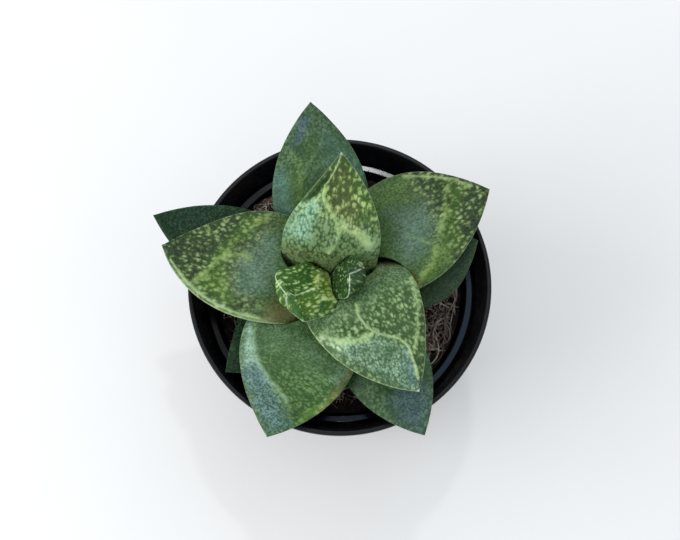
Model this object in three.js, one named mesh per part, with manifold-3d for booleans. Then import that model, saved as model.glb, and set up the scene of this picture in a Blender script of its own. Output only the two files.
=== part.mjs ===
// A small gasteria, a succulent with thick mottled leaves, growing in a round black nursery pot.
// Units are millimetres, +Z is up, and the origin is the centre of the pot's underside.
// The plant is a short stem with twelve fleshy leaves set round it in a spiral, youngest in the
// middle. Each leaf is a solid of its own; an older leaf is hollowed where it wraps a younger one.
import * as THREE from "three";
import { mergeVertices } from "three/addons/utils/BufferGeometryUtils.js";
import Module from "manifold-3d";

const wasm = await Module();
wasm.setup();

// ---- driving dimensions -------------------------------------------------------------------

const CLEARANCE = 0.35; // free gap left between pieces that rest on or in each other

// Pot: a tapered wall below a wider collar, with a stacking ledge where the two meet.
const POT_HEIGHT = 88;
const RIM_RADIUS = 52; // outside of the lip
const LIP_WIDTH = 1.5; // flat top of the lip
const LIP_DEPTH = 2.2; // height of the lip's outer bead
const LIP_STEP = 0.9; // how far the bead stands out of the collar
const COLLAR_HEIGHT = 12; // outside height of the collar, lip included
const COLLAR_FOOT_RADIUS = 48.6; // outside of the collar at its lower edge
const LEDGE_DROP = 10; // the ledge lies this far below the rim
const LEDGE_OUTER = 46.4; // inside of the collar where it meets the ledge
const LEDGE_INNER = 44; // inside of the wall just below the ledge
const WALL = 1.3;
const FLOOR_RADIUS = 36.5; // outside of the wall at the foot
const FLOOR_THICKNESS = 2;
const FOOT_RING_WIDTH = 5; // the pot stands on this ring and on a disc in the middle
const CENTRE_DISC_RADIUS = 12;
const CHANNEL_HEIGHT = 1.5; // clear height between them, for drainage
const DRAIN_COUNT = 6;
const DRAIN_RADIUS = 4;
const DRAIN_CIRCLE = 22;
const NOTCH_WIDTH = 8; // gaps in the foot ring that let water out
const POT_SIDES = 40;

// Soil: a tapered plug that fills the pot, with a rough top and coir fibres lying on it.
const SOIL_TOP = 73;
const SOIL_ROUGHNESS = 1.1; // height of the crumbs
const SOIL_RINGS = 8;
const SOIL_SIDES = 32;
const FIBRE_COUNT = 30;
const FIBRE_RADIUS = 0.5;
const FIBRE_HALF_LENGTH = 5;
const FIBRE_ARCH = 1.2; // how far its middle stands above the soil
const FIBRE_INNER = 14; // the fibres lie between these distances from the middle
const FIBRE_OUTER = 38;
const FIBRE_SEED = 7;

// Stem: a short stump that carries the leaves and tapers to a root in a plain hole in the soil.
const STEM_RADIUS = 6;
const STEM_TOP = 83.7;
const STEM_TOP_RADIUS = 4;
const ROOT_TIP = 54;
const ROOT_TIP_RADIUS = 1.5;
const STEM_SIDES = 18;

// Leaf sections: from the foot to the tip, and round the leaf.
const LEAF_RINGS = 12;
const LEAF_SIDES = 16;
const LEAF_CLEARANCE = 0.5; // a slanting face needs more than CLEARANCE to stay clear
const TIP_CROWDING = 1.5; // sections stand closer together towards the tip
const FACE_FULLNESS = 2.6; // the upper face is a flat-topped arch that rounds off at the margins
const KEEL_SHARPNESS = 1.4; // the underside is a blunt keel

// What every leaf has unless its own line says otherwise.
const LEAF = {
  stand: 76, // angle above the horizontal at which the leaf leaves the stem, degrees
  rise: 26, // how far it keeps that direction
  reach: 22, // how far back from the tip the end direction holds
  pitch: 5, // angle above the horizontal at the tip, degrees
  sweep: 0, // sideways turn of the tip, degrees
  turn: 0, // turn of the blade's width about the upright, degrees
  widest: 0.46, // where the blade is widest, as a share of its length
  foot: 0.6, // width at the foot, as a share of the widest
  taper: [2, 2], // fullness of the left and right margins towards the tip
  crown: 3, // height of the upper face above the margins
  belly: 6, // depth of the keel below the margins
  thinning: 2.4, // how late the leaf thins towards its tip
  cup: 0, // how far the margins turn up
  headroom: 4, // the face's extra height in the seat that the leaf cuts in older ones
};

// The leaves, youngest first. tip and root are points, and halfWidth is left and right of the
// midrib, looking from the stem outwards.
const LEAVES = [
  {
    name: "leaf_01", tip: [3.2, -2.5, 114], root: [-2.6, 1.4, 84], halfWidth: [7.4, 7.6],
    stand: 86, rise: 21, reach: 8, pitch: 130, sweep: 14, turn: 18, widest: 0.5, foot: 1,
    taper: [3.4, 3.4], crown: 2.2, belly: 4.6, thinning: 8, headroom: 0,
  },
  {
    name: "leaf_02", tip: [-17, -9.6, 113], root: [-1.4, -2.6, 84], halfWidth: [9.4, 9.8],
    stand: 90, rise: 24, reach: 8, pitch: 98, turn: 16, widest: 0.6, foot: 1.25,
    taper: [4.6, 4.6], crown: 2.8, belly: 4.6, thinning: 8, cup: 0.8, headroom: 0,
  },
  {
    name: "leaf_03", tip: [0.5, 37, 119], root: [-4, 3.2, 83], halfWidth: [16.5, 15.8],
    stand: 84, rise: 32, reach: 20, pitch: 30, sweep: 8, widest: 0.36, foot: 0.96,
    taper: [1.7, 2], crown: 3.6, belly: 8.5,
  },
  {
    name: "leaf_04", tip: [25.5, -40, 107], root: [1.5, 1, 82], halfWidth: [18.5, 19.5],
    stand: 82, rise: 28, reach: 18, pitch: 0, widest: 0.38, foot: 0.66, taper: [1.8, 2.3],
    belly: 8.5,
  },
  {
    name: "leaf_05", tip: [-60, 11, 98], root: [-5, 0, 81], halfWidth: [18, 20],
    sweep: -10, taper: [2.3, 2], belly: 8.5,
  },
  {
    name: "leaf_06", tip: [50.5, 29, 103], root: [2.5, 2.5, 80], halfWidth: [21, 17.5],
    stand: 72, pitch: 10, widest: 0.5, taper: [2.3, 2], belly: 8.5,
  },
  {
    name: "leaf_07", tip: [-24, -53, 92.5], root: [-3.5, -4, 79.5], halfWidth: [18, 21.5],
    stand: 64, pitch: 0, taper: [2.4, 2.2], belly: 7,
  },
  {
    name: "leaf_08", tip: [-10, 61, 101], root: [-2, 5, 79], halfWidth: [17.5, 15.5],
    stand: 50, rise: 22, pitch: 10, taper: [2.1, 2], belly: 6.5,
  },
  {
    name: "leaf_09", tip: [28, -52.5, 92.5], root: [1.5, -4.5, 78.5], halfWidth: [15, 14],
    stand: 38, rise: 20, pitch: 2, widest: 0.5, taper: [2.3, 2.3], belly: 5,
  },
  {
    name: "leaf_10", tip: [-63.5, 22, 96], root: [-5.5, 1.5, 78.5], halfWidth: [15, 14],
    stand: 32, rise: 20, pitch: 8, widest: 0.5, taper: [1.9, 1.9], crown: 2.5, belly: 5,
  },
  {
    name: "leaf_11", tip: [47.5, 14.5, 90.5], root: [4, 1, 78], halfWidth: [15, 17.5],
    stand: 26, rise: 20, reach: 20, pitch: 8, widest: 0.5, taper: [1.9, 2.9], crown: 2.5,
    belly: 4, thinning: 1.8,
  },
  {
    name: "leaf_12", tip: [-38.5, -31, 90], root: [-5, -3.5, 78], halfWidth: [13, 14],
    stand: 24, rise: 18, reach: 20, pitch: 10, widest: 0.5, taper: [1.9, 1.9], crown: 2.5,
    belly: 4, thinning: 1.8,
  },
];

const GREENS = { young: 0x4f7a34, grown: 0x587f4e, old: 0x3f6154 };

// ---- small helpers ------------------------------------------------------------------------

const vec = (x, y, z) => new THREE.Vector3(x, y, z);
const UP = vec(0, 0, 1);
const radians = THREE.MathUtils.degToRad;

// A skin of rings of points as a geometry. It closes at the last ring on the tip and at the
// first on the foot. A ring's points run anticlockwise seen from the tip.
function loft(rings, tip, foot) {
  const sides = rings[0].length;
  const points = [...rings.flat(), tip, foot];
  const tipIndex = rings.length * sides;
  const index = [];
  for (let j = 0; j < sides; j++) {
    const k = (j + 1) % sides;
    for (let i = 0; i < rings.length - 1; i++) {
      const a = i * sides;
      const b = a + sides;
      index.push(a + j, a + k, b + k, a + j, b + k, b + j);
    }
    index.push(tipIndex - sides + j, tipIndex - sides + k, tipIndex);
    index.push(k, j, tipIndex + 1);
  }
  return new THREE.BufferGeometry().setFromPoints(points).setIndex(index);
}

// A closed three.js geometry as a solid.
function solidOfGeometry(geometry) {
  geometry.deleteAttribute("normal");
  geometry.deleteAttribute("uv");
  const merged = mergeVertices(geometry, 1e-4);
  return new wasm.Manifold(
    new wasm.Mesh({
      numProp: 3,
      vertProperties: merged.attributes.position.array,
      triVerts: Uint32Array.from(merged.index.array),
    }),
  );
}

function largestBody(solid) {
  const bodies = solid.decompose();
  return bodies.reduce((a, b) => (a.volume() > b.volume() ? a : b));
}

// A solid as a named mesh with its own material.
function meshOf(name, solid, colour, roughness) {
  const data = solid.getMesh();
  const geometry = new THREE.BufferGeometry();
  geometry.setAttribute("position", new THREE.BufferAttribute(data.vertProperties, 3));
  geometry.setIndex(new THREE.BufferAttribute(data.triVerts, 1));
  geometry.computeVertexNormals();
  const material = new THREE.MeshStandardMaterial({ color: colour, roughness, metalness: 0 });
  const mesh = new THREE.Mesh(geometry, material);
  mesh.name = name;
  return mesh;
}

// A profile of [radius, height] pairs turned about +Z.
function turned(profile, sides) {
  const lathe = new THREE.LatheGeometry(profile.map(([r, z]) => new THREE.Vector2(r, z)), sides);
  return solidOfGeometry(lathe.rotateX(Math.PI / 2));
}

function uprightCylinder(radius, low, high, sides) {
  const middle = (low + high) / 2;
  const cylinder = new THREE.CylinderGeometry(radius, radius, high - low, sides);
  return solidOfGeometry(cylinder.rotateX(Math.PI / 2).translate(0, 0, middle));
}

// Repeatable random numbers from 0 to 1.
function randomSource(seed) {
  let state = seed;
  return () => {
    state = (state * 1664525 + 1013904223) % 4294967296;
    return state / 4294967296;
  };
}

// ---- pot ----------------------------------------------------------------------------------

// Inside radius of the tapered wall at a height.
function wallInside(z) {
  const foot = FLOOR_RADIUS - WALL;
  const share = (z - FLOOR_THICKNESS) / (POT_HEIGHT - LEDGE_DROP - FLOOR_THICKNESS);
  return foot + (LEDGE_INNER - foot) * share;
}

function potSolid() {
  const collarFoot = POT_HEIGHT - COLLAR_HEIGHT;
  const ledge = POT_HEIGHT - LEDGE_DROP;
  const ring = FLOOR_RADIUS - FOOT_RING_WIDTH;
  const profile = [
    [0, 0],
    [CENTRE_DISC_RADIUS, 0],
    [CENTRE_DISC_RADIUS + CHANNEL_HEIGHT, CHANNEL_HEIGHT],
    [ring - CHANNEL_HEIGHT, CHANNEL_HEIGHT],
    [ring, 0],
    [FLOOR_RADIUS - 1, 0],
    [FLOOR_RADIUS, 1],
    [wallInside(collarFoot) + WALL, collarFoot],
    [COLLAR_FOOT_RADIUS, collarFoot],
    [RIM_RADIUS - LIP_STEP, POT_HEIGHT - LIP_DEPTH],
    [RIM_RADIUS, POT_HEIGHT - LIP_DEPTH],
    [RIM_RADIUS, POT_HEIGHT - 0.4],
    [RIM_RADIUS - 0.4, POT_HEIGHT],
    [RIM_RADIUS - LIP_WIDTH, POT_HEIGHT],
    [LEDGE_OUTER, ledge],
    [LEDGE_INNER, ledge],
    [wallInside(FLOOR_THICKNESS + CHANNEL_HEIGHT + 1), FLOOR_THICKNESS + CHANNEL_HEIGHT + 1],
    [wallInside(0) - 1, FLOOR_THICKNESS + CHANNEL_HEIGHT],
    [0, FLOOR_THICKNESS + CHANNEL_HEIGHT],
  ];
  let pot = turned(profile, POT_SIDES);
  for (let i = 0; i < DRAIN_COUNT; i++) {
    const angle = (360 / DRAIN_COUNT) * i;
    const hole = uprightCylinder(DRAIN_RADIUS, -1, FLOOR_THICKNESS + CHANNEL_HEIGHT + 1, 14);
    const notch = new THREE.BoxGeometry(FOOT_RING_WIDTH * 2, NOTCH_WIDTH, CHANNEL_HEIGHT * 2);
    notch.translate(FLOOR_RADIUS, 0, 0);
    pot = pot.subtract(hole.translate(DRAIN_CIRCLE, 0, 0).rotate(0, 0, angle));
    pot = pot.subtract(solidOfGeometry(notch).rotate(0, 0, angle + 180 / DRAIN_COUNT));
  }
  return pot;
}

// ---- stem ---------------------------------------------------------------------------------

function stemSolid(grow) {
  const profile = [
    [0, ROOT_TIP - grow],
    [ROOT_TIP_RADIUS + grow, ROOT_TIP - grow],
    [STEM_RADIUS * 0.7 + grow, (ROOT_TIP + SOIL_TOP) / 2],
    [STEM_RADIUS + grow, SOIL_TOP - 2],
    [STEM_RADIUS + grow, STEM_TOP - 5],
    [STEM_TOP_RADIUS + grow, STEM_TOP + grow],
    [0, STEM_TOP + grow],
  ];
  return turned(profile, STEM_SIDES);
}

// ---- leaves -------------------------------------------------------------------------------

// Level direction from a leaf's root to its tip, turned about the upright.
function heading(leaf, turn) {
  const [rootX, rootY] = leaf.root;
  const [tipX, tipY] = leaf.tip;
  return vec(tipX - rootX, tipY - rootY, 0).normalize().applyAxisAngle(UP, radians(turn));
}

// The midrib's curve: it leaves the stem steeply, arches over and ends in the tip's direction.
function midrib(leaf) {
  const root = vec(...leaf.root);
  const tip = vec(...leaf.tip);
  const stand = radians(leaf.stand);
  const pitch = radians(leaf.pitch);
  const leave = heading(leaf, 0).multiplyScalar(Math.cos(stand));
  const arrive = heading(leaf, leaf.sweep).multiplyScalar(Math.cos(pitch));
  leave.addScaledVector(UP, Math.sin(stand));
  arrive.addScaledVector(UP, Math.sin(pitch));
  return new THREE.CubicBezierCurve3(
    root,
    root.clone().addScaledVector(leave, leaf.rise),
    tip.clone().addScaledVector(arrive, -leaf.reach),
    tip,
  );
}

// Width along the leaf, from 0 at the foot to 1 at the tip, as a share of the widest.
function widthShare(leaf, s, taper) {
  if (s < leaf.widest) {
    return leaf.foot + (1 - leaf.foot) * Math.sin((Math.PI / 2) * (s / leaf.widest));
  }
  return 1 - ((s - leaf.widest) / (1 - leaf.widest)) ** taper;
}

// Direction across the leaf, to the left of its course, and the upper face's normal.
function crossFrame(curve, leaf, s) {
  const along = curve.getTangent(s).normalize();
  const across = UP.clone().cross(heading(leaf, leaf.turn));
  across.addScaledVector(along, -along.dot(across)).normalize();
  return { across, normal: along.clone().cross(across) };
}

// One leaf as a solid. As a seat it is larger all round and its upper face is raised, so that
// it cuts a clear place for itself and leaves no thin flap of an older leaf above it.
function leafSolid(spec, isSeat) {
  const leaf = { ...LEAF, ...spec };
  const grow = isSeat ? LEAF_CLEARANCE : 0;
  const headroom = isSeat ? leaf.headroom : 0;
  const curve = midrib(leaf);
  const rings = [];
  for (let i = 0; i < LEAF_RINGS; i++) {
    const s = 1 - (1 - i / LEAF_RINGS) ** TIP_CROWDING;
    const { across, normal } = crossFrame(curve, leaf, s);
    const centre = curve.getPoint(s);
    const left = leaf.halfWidth[0] * widthShare(leaf, s, leaf.taper[0]) + grow;
    const right = leaf.halfWidth[1] * widthShare(leaf, s, leaf.taper[1]) + grow;
    const share = (left + right) / (leaf.halfWidth[0] + leaf.halfWidth[1]);
    const thickness = Math.sqrt(1 - (0.97 * s) ** leaf.thinning);
    const face = leaf.crown * thickness + grow + headroom;
    const keel = leaf.belly * thickness * Math.min(1, 0.35 + 0.65 * share) + grow;
    const ring = [];
    for (let j = 0; j < LEAF_SIDES; j++) {
      const angle = (2 * Math.PI * j) / LEAF_SIDES;
      const c = Math.cos(angle);
      const out = Math.abs(c);
      const upper = face * (1 - out ** FACE_FULLNESS) ** 0.5;
      const lower = -keel * (1 - out ** KEEL_SHARPNESS) ** 0.8;
      const height = (j < LEAF_SIDES / 2 ? upper : lower) + leaf.cup * share * c * c;
      const point = centre.clone().addScaledVector(across, c * (c >= 0 ? left : right));
      ring.push(point.addScaledVector(normal, height));
    }
    rings.push(ring);
  }
  const tip = curve.getPoint(1).addScaledVector(curve.getTangent(1).normalize(), grow);
  const foot = curve.getPoint(0).addScaledVector(curve.getTangent(0).normalize(), -grow);
  return solidOfGeometry(loft(rings, tip, foot));
}

// ---- soil ---------------------------------------------------------------------------------

// Height of the soil's top: two sets of soft waves that read as crumbs and hollows.
function soilHeight(x, y) {
  const coarse = Math.sin(x * 0.31 + 1.3) * Math.cos(y * 0.27 - 0.6);
  const fine = Math.sin(x * 0.83 + y * 0.41) * Math.cos(y * 0.97 - x * 0.35 + 2);
  return SOIL_TOP + SOIL_ROUGHNESS * (0.6 * coarse + 0.5 * fine);
}

// The plug of soil: a chamfered underside, a tapered side and a rough top.
function soilBody() {
  const floor = FLOOR_THICKNESS + CHANNEL_HEIGHT + CLEARANCE;
  const edge = wallInside(SOIL_TOP - 2) - CLEARANCE - 0.1;
  const rings = [];
  const addRing = (radius, shift, heightAt) => {
    const ring = [];
    for (let j = 0; j < SOIL_SIDES; j++) {
      const angle = (2 * Math.PI * (j + shift)) / SOIL_SIDES;
      const x = radius * Math.cos(angle);
      const y = radius * Math.sin(angle);
      ring.push(vec(x, y, heightAt(x, y)));
    }
    rings.push(ring);
  };
  addRing(wallInside(floor) - 2, 0, () => floor);
  addRing(wallInside(floor + 2) - CLEARANCE, 0, () => floor + 2);
  for (let i = 0; i < SOIL_RINGS; i++) {
    addRing(edge * (1 - i / SOIL_RINGS), i % 2 ? 0.5 : 0, soilHeight);
  }
  return solidOfGeometry(loft(rings, vec(0, 0, SOIL_TOP), vec(0, 0, floor)));
}

// One coir fibre: a thin bent tube with its ends sunk in the soil, or null past the edge.
function fibreSolid(random) {
  const around = random() * 2 * Math.PI;
  const out = FIBRE_INNER + (FIBRE_OUTER - FIBRE_INNER) * Math.sqrt(random());
  const course = vec(1, 0, 0).applyAxisAngle(UP, random() * 2 * Math.PI);
  const aside = UP.clone().cross(course);
  const half = FIBRE_HALF_LENGTH * (0.6 + 0.8 * random());
  const bend = (random() - 0.5) * half;
  const middle = vec(out * Math.cos(around), out * Math.sin(around), 0);
  const points = [-1, -0.5, 0, 0.5, 1].map((t) => {
    const p = middle.clone().addScaledVector(course, half * t);
    p.addScaledVector(aside, bend * (1 - t * t));
    p.z = soilHeight(p.x, p.y) + FIBRE_ARCH * (1 - 2 * t * t);
    return p;
  });
  const edge = wallInside(SOIL_TOP) - CLEARANCE - 2 * FIBRE_RADIUS;
  if (points.some((p) => Math.hypot(p.x, p.y) > edge)) return null;
  const corners = [0, 1, 2].map((k) => {
    const angle = (2 * Math.PI * k) / 3;
    return new THREE.Vector2(FIBRE_RADIUS * Math.cos(angle), FIBRE_RADIUS * Math.sin(angle));
  });
  const extrusion = {
    steps: 4,
    bevelEnabled: false,
    extrudePath: new THREE.CatmullRomCurve3(points),
  };
  return solidOfGeometry(new THREE.ExtrudeGeometry(new THREE.Shape(corners), extrusion));
}

function soilSolid(stemHole) {
  const random = randomSource(FIBRE_SEED);
  let soil = soilBody();
  for (let i = 0; i < FIBRE_COUNT; i++) {
    const fibre = fibreSolid(random);
    if (fibre) soil = soil.add(fibre);
  }
  return largestBody(soil.subtract(stemHole));
}

// ---- assembly -----------------------------------------------------------------------------

const plant = new THREE.Group();
const stem = stemSolid(0);
const seats = [stemSolid(CLEARANCE)];

LEAVES.forEach((spec, age) => {
  let leaf = leafSolid(spec, false);
  for (const seat of seats) leaf = leaf.subtract(seat);
  seats.push(leafSolid(spec, true));
  const colour = age < 4 ? GREENS.young : age < 7 ? GREENS.grown : GREENS.old;
  plant.add(meshOf(spec.name, largestBody(leaf), colour, 0.45));
});

const potted = new THREE.Group();
potted.add(meshOf("pot", potSolid(), 0x0b0c0e, 0.4));
potted.add(meshOf("soil", soilSolid(stemSolid(CLEARANCE)), 0x2b221b, 0.95));
potted.add(meshOf("stem", stem, 0x6f7350, 0.7));
potted.add(plant);

export default potted;
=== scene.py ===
"""Looks of a small gasteria, a succulent with thick mottled leaves, in a round black nursery pot.

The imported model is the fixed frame. Every piece here is built in millimetres in that frame and
stored in metres. Each leaf is a lofted skin with raised seams and soft facets, hollowed where it
wraps the younger leaves, and its marks are worked out over its own surface.
"""

from __future__ import annotations

import sys

import logging
import math
from dataclasses import dataclass, field
from enum import Enum

import bmesh
import bpy
import numpy as np
from mathutils import Matrix, Vector, noise
from mathutils.kdtree import KDTree


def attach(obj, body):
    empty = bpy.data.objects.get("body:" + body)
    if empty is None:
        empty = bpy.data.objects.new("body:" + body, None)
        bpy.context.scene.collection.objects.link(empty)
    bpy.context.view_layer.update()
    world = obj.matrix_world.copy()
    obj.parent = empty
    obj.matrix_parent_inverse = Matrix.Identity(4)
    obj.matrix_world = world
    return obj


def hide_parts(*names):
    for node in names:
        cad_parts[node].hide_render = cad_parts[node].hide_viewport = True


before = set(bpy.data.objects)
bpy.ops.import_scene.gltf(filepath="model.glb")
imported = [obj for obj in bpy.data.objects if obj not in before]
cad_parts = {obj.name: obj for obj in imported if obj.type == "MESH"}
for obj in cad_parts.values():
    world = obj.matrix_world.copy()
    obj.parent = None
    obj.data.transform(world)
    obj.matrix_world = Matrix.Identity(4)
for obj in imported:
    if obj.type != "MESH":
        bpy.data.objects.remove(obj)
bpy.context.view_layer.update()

MM = 0.001
ROOT = "root"
UP = np.array((0.0, 0.0, 1.0))

log = logging.getLogger("gasteria")

Point = tuple[float, float, float]
Spot = tuple[float, float]
Layers = dict[str, np.ndarray]


# ---- numbers and colours --------------------------------------------------------------------


def linear(code: str, alpha: float = 1.0) -> tuple[float, float, float, float]:
    """Turn a colour written as six hex digits into linear light.

    Args:
        code: The colour as RRGGBB.
        alpha: The fourth number of the result.

    Returns:
        Red, green and blue as linear light, and alpha.
    """
    parts = [int(code[i : i + 2], 16) / 255 for i in (0, 2, 4)]
    light = [p / 12.92 if p <= 0.04045 else ((p + 0.055) / 1.055) ** 2.4 for p in parts]
    return (light[0], light[1], light[2], alpha)


def unit(vectors: np.ndarray) -> np.ndarray:
    """Scale each vector in the last axis to length 1."""
    return vectors / np.maximum(np.linalg.norm(vectors, axis=-1, keepdims=True), 1e-12)


def turns(count: int) -> np.ndarray:
    """Divide a full turn into equal angles in radians, starting at 0."""
    return 2 * np.pi * np.arange(count) / count


def spokes(count: int) -> np.ndarray:
    """Give level unit vectors in equally spaced directions, one a row."""
    angles = turns(count)
    return np.stack((np.cos(angles), np.sin(angles), 0 * angles), -1)


def ease(values: np.ndarray, low: float, high: float) -> np.ndarray:
    """Ramp smoothly from 0 at low to 1 at high.

    Args:
        values: Any array of numbers.
        low: Where the ramp starts.
        high: Where the ramp ends; it may lie below low.

    Returns:
        Numbers from 0 to 1 in the same shape.
    """
    t = np.clip((values - low) / (high - low), 0.0, 1.0)
    return t * t * (3.0 - 2.0 * t)


def by_side(c: np.ndarray, pair: Spot | tuple[np.ndarray, np.ndarray]) -> np.ndarray:
    """Take the first number of a pair on a leaf's left, where c isn't below 0, or the second."""
    return np.where(c >= 0, pair[0], pair[1])


class Ripple:
    """A smooth random field over space, made of a few seeded sine waves."""

    def __init__(self, seed: int, wavelength: float, waves: int = 9) -> None:
        """Draw the waves.

        Args:
            seed: Start of the random draw.
            wavelength: Mean length of a wave, in the unit of the points.
            waves: How many waves are added up.
        """
        draw = np.random.default_rng(seed)
        directions = unit(draw.normal(size=(waves, 3)))
        lengths = wavelength * draw.uniform(0.7, 1.6, (waves, 1))
        self.pull = 2 * math.pi * directions / lengths
        self.phase = draw.uniform(0, 2 * math.pi, waves)

    def at(self, points: np.ndarray) -> np.ndarray:
        """Give the field's value, roughly from -1 to 1, at points in the last axis."""
        return np.sin(points @ self.pull.T + self.phase).sum(axis=-1) / math.sqrt(len(self.phase))


# ---- shader building ------------------------------------------------------------------------


class Wire:
    """A value socket of a material that can stand in Python expressions."""

    def __init__(self, recipe: Recipe, socket: bpy.types.NodeSocket) -> None:
        """Wrap an output socket of one of the recipe's nodes."""
        self.recipe = recipe
        self.socket = socket

    def __add__(self, other: Wire | float) -> Wire:
        """Add a number or another value."""
        return self.recipe.maths("ADD", self, other)

    def __sub__(self, other: Wire | float) -> Wire:
        """Take away a number or another value."""
        return self.recipe.maths("SUBTRACT", self, other)

    def __rsub__(self, other: float) -> Wire:
        """Take this value away from a number."""
        return self.recipe.maths("SUBTRACT", other, self)

    def __mul__(self, other: Wire | float) -> Wire:
        """Multiply by a number or another value."""
        return self.recipe.maths("MULTIPLY", self, other)

    __radd__ = __add__
    __rmul__ = __mul__

    def ramp(self, low: float, high: float) -> Wire:
        """Ramp smoothly from 0 where this value is low to 1 where it is high.

        Args:
            low: Value at the ramp's start.
            high: Value at the ramp's end; it may lie below low.

        Returns:
            A value from 0 to 1.
        """
        flip = high < low
        node = self.recipe.node(
            "ShaderNodeMapRange",
            {"interpolation_type": "SMOOTHSTEP"},
            {"Value": self, "From Min": min(low, high), "From Max": max(low, high)},
        )
        node.inputs["To Min"].default_value = 1.0 if flip else 0.0
        node.inputs["To Max"].default_value = 0.0 if flip else 1.0
        return Wire(self.recipe, node.outputs["Result"])


Feed = Wire | float | tuple | bpy.types.NodeSocket
Pair = tuple[str, str]


class Recipe:
    """One material's node tree while it is being written."""

    def __init__(self, name: str) -> None:
        """Start an empty material with that name."""
        self.material = bpy.data.materials.new(name)
        self.material.use_nodes = True
        self.tree = self.material.node_tree
        self.tree.nodes.clear()

    def node(self, kind: str, settings: dict, inputs: dict) -> bpy.types.Node:
        """Make one node: its settings first and then its sockets.

        Args:
            kind: The node's type.
            settings: Names and values of the node's own properties.
            inputs: Socket names or numbers, and a value or link for each.

        Returns:
            The new node.
        """
        made = self.tree.nodes.new(kind)
        for name, value in settings.items():
            setattr(made, name, value)
        for key, value in inputs.items():
            self.feed(made.inputs[key], value)
        return made

    def feed(self, socket: bpy.types.NodeSocket, value: Feed) -> None:
        """Set a socket to a number or tuple, or link a wire or another socket to it."""
        if isinstance(value, Wire):
            value = value.socket
        if isinstance(value, bpy.types.NodeSocket):
            self.tree.links.new(value, socket)
        else:
            socket.default_value = value

    def maths(self, operation: str, first: Feed, second: Feed) -> Wire:
        """Join two values with a Math node's operation."""
        made = self.node("ShaderNodeMath", {"operation": operation}, {0: first, 1: second})
        return Wire(self, made.outputs[0])

    def blend(self, share: Feed, first: Feed, second: Feed) -> bpy.types.NodeSocket:
        """Mix two colours.

        Args:
            share: How much of the second colour shows, from 0 to 1.
            first: Colour where the share is 0.
            second: Colour where the share is 1.

        Returns:
            The mixed colour's socket.
        """
        made = self.node(
            "ShaderNodeMix",
            {"data_type": "RGBA", "clamp_factor": True},
            {0: share, 6: first, 7: second},
        )
        return made.outputs[2]

    def mark(self, name: str) -> Wire:
        """Read a number that the mesh carries at each of its points."""
        made = self.node("ShaderNodeAttribute", {"attribute_name": name}, {})
        return Wire(self, made.outputs["Fac"])

    def place(self, name: str) -> bpy.types.NodeSocket:
        """Read a vector that the mesh carries at each of its points."""
        made = self.node("ShaderNodeAttribute", {"attribute_name": name}, {})
        return made.outputs["Vector"]

    def space(self) -> bpy.types.NodeSocket:
        """Give the place in the object's own space, in millimetres."""
        where = self.node("ShaderNodeTexCoord", {}, {})
        return self.vector("SCALE", where.outputs["Object"], 1 / MM)

    def vector(self, operation: str, first: Feed, second: Feed) -> bpy.types.NodeSocket:
        """Join two vectors, or scale one, with a Vector Math node's operation."""
        key = "Scale" if operation == "SCALE" else 1
        made = self.node("ShaderNodeVectorMath", {"operation": operation}, {0: first, key: second})
        return made.outputs[0]

    def cloud(self, where: Feed, size: float, detail: float = 2.0, rough: float = 0.5) -> Wire:
        """Make cloudy noise.

        Args:
            where: The place to look at, in millimetres.
            size: Rough size of a cloud in millimetres.
            detail: How many finer layers are added.
            rough: Strength of the finer layers.

        Returns:
            A value about 0.5.
        """
        sockets = {"Vector": where, "Scale": 1 / size, "Detail": detail, "Roughness": rough}
        made = self.node("ShaderNodeTexNoise", {"noise_dimensions": "3D"}, sockets)
        return Wire(self, made.outputs["Fac"])

    def warped(self, where: Feed, size: float, push: float) -> bpy.types.NodeSocket:
        """Push a place about by soft noise.

        Args:
            where: The place, in millimetres.
            size: Rough size of the noise in millimetres.
            push: Largest push in millimetres.

        Returns:
            The pushed place.
        """
        sockets = {"Vector": where, "Scale": 1 / size, "Detail": 2.0}
        made = self.node("ShaderNodeTexNoise", {"noise_dimensions": "3D"}, sockets)
        offset = self.vector("SUBTRACT", made.outputs["Color"], (0.5, 0.5, 0.5))
        return self.vector("ADD", where, self.vector("SCALE", offset, 2 * push))

    def cells(self, where: Feed, size: float, flat: bool = False) -> bpy.types.Node:
        """Divide space, or the plane of the first two numbers, into random cells.

        Args:
            where: The place, in millimetres.
            size: Rough size of a cell in millimetres.
            flat: True to divide the plane.

        Returns:
            The node, whose outputs are Distance and Color.
        """
        return self.node(
            "ShaderNodeTexVoronoi",
            {"voronoi_dimensions": "2D" if flat else "3D", "feature": "F1"},
            {"Vector": where, "Scale": 1 / size, "Randomness": 0.88},
        )

    def far(self, cells: bpy.types.Node) -> Wire:
        """Take the distance to the middle of the nearest cell, in sizes of a cell."""
        return Wire(self, cells.outputs["Distance"])

    def red(self, cells: bpy.types.Node) -> Wire:
        """Take the red part of the random colour that each cell has."""
        split = self.node("ShaderNodeSeparateColor", {}, {0: cells.outputs["Color"]})
        return Wire(self, split.outputs[0])

    def bump(self, height: Wire, depth: float, strength: float) -> bpy.types.NodeSocket:
        """Turn a height into a normal.

        Args:
            height: Height from 0 to 1.
            depth: What a height of 1 stands for, in millimetres.
            strength: Strength of the effect, from 0 to 1.

        Returns:
            The normal's socket.
        """
        sockets = {"Height": height, "Distance": depth * MM, "Strength": strength}
        return self.node("ShaderNodeBump", {}, sockets).outputs["Normal"]

    def surface(self, colour: Feed, rough: Feed, normal: Feed, plain: dict) -> bpy.types.Material:
        """End the recipe with the surface shader.

        Args:
            colour: Base colour.
            rough: Roughness.
            normal: The bumped normal.
            plain: Other sockets of the shader and their constant values.

        Returns:
            The finished material.
        """
        sockets = {"Base Color": colour, "Roughness": rough, "Normal": normal, **plain}
        shader = self.node("ShaderNodeBsdfPrincipled", {}, sockets)
        self.node("ShaderNodeOutputMaterial", {}, {"Surface": shader.outputs["BSDF"]})
        return self.material


# ---- finishes -------------------------------------------------------------------------------


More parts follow.
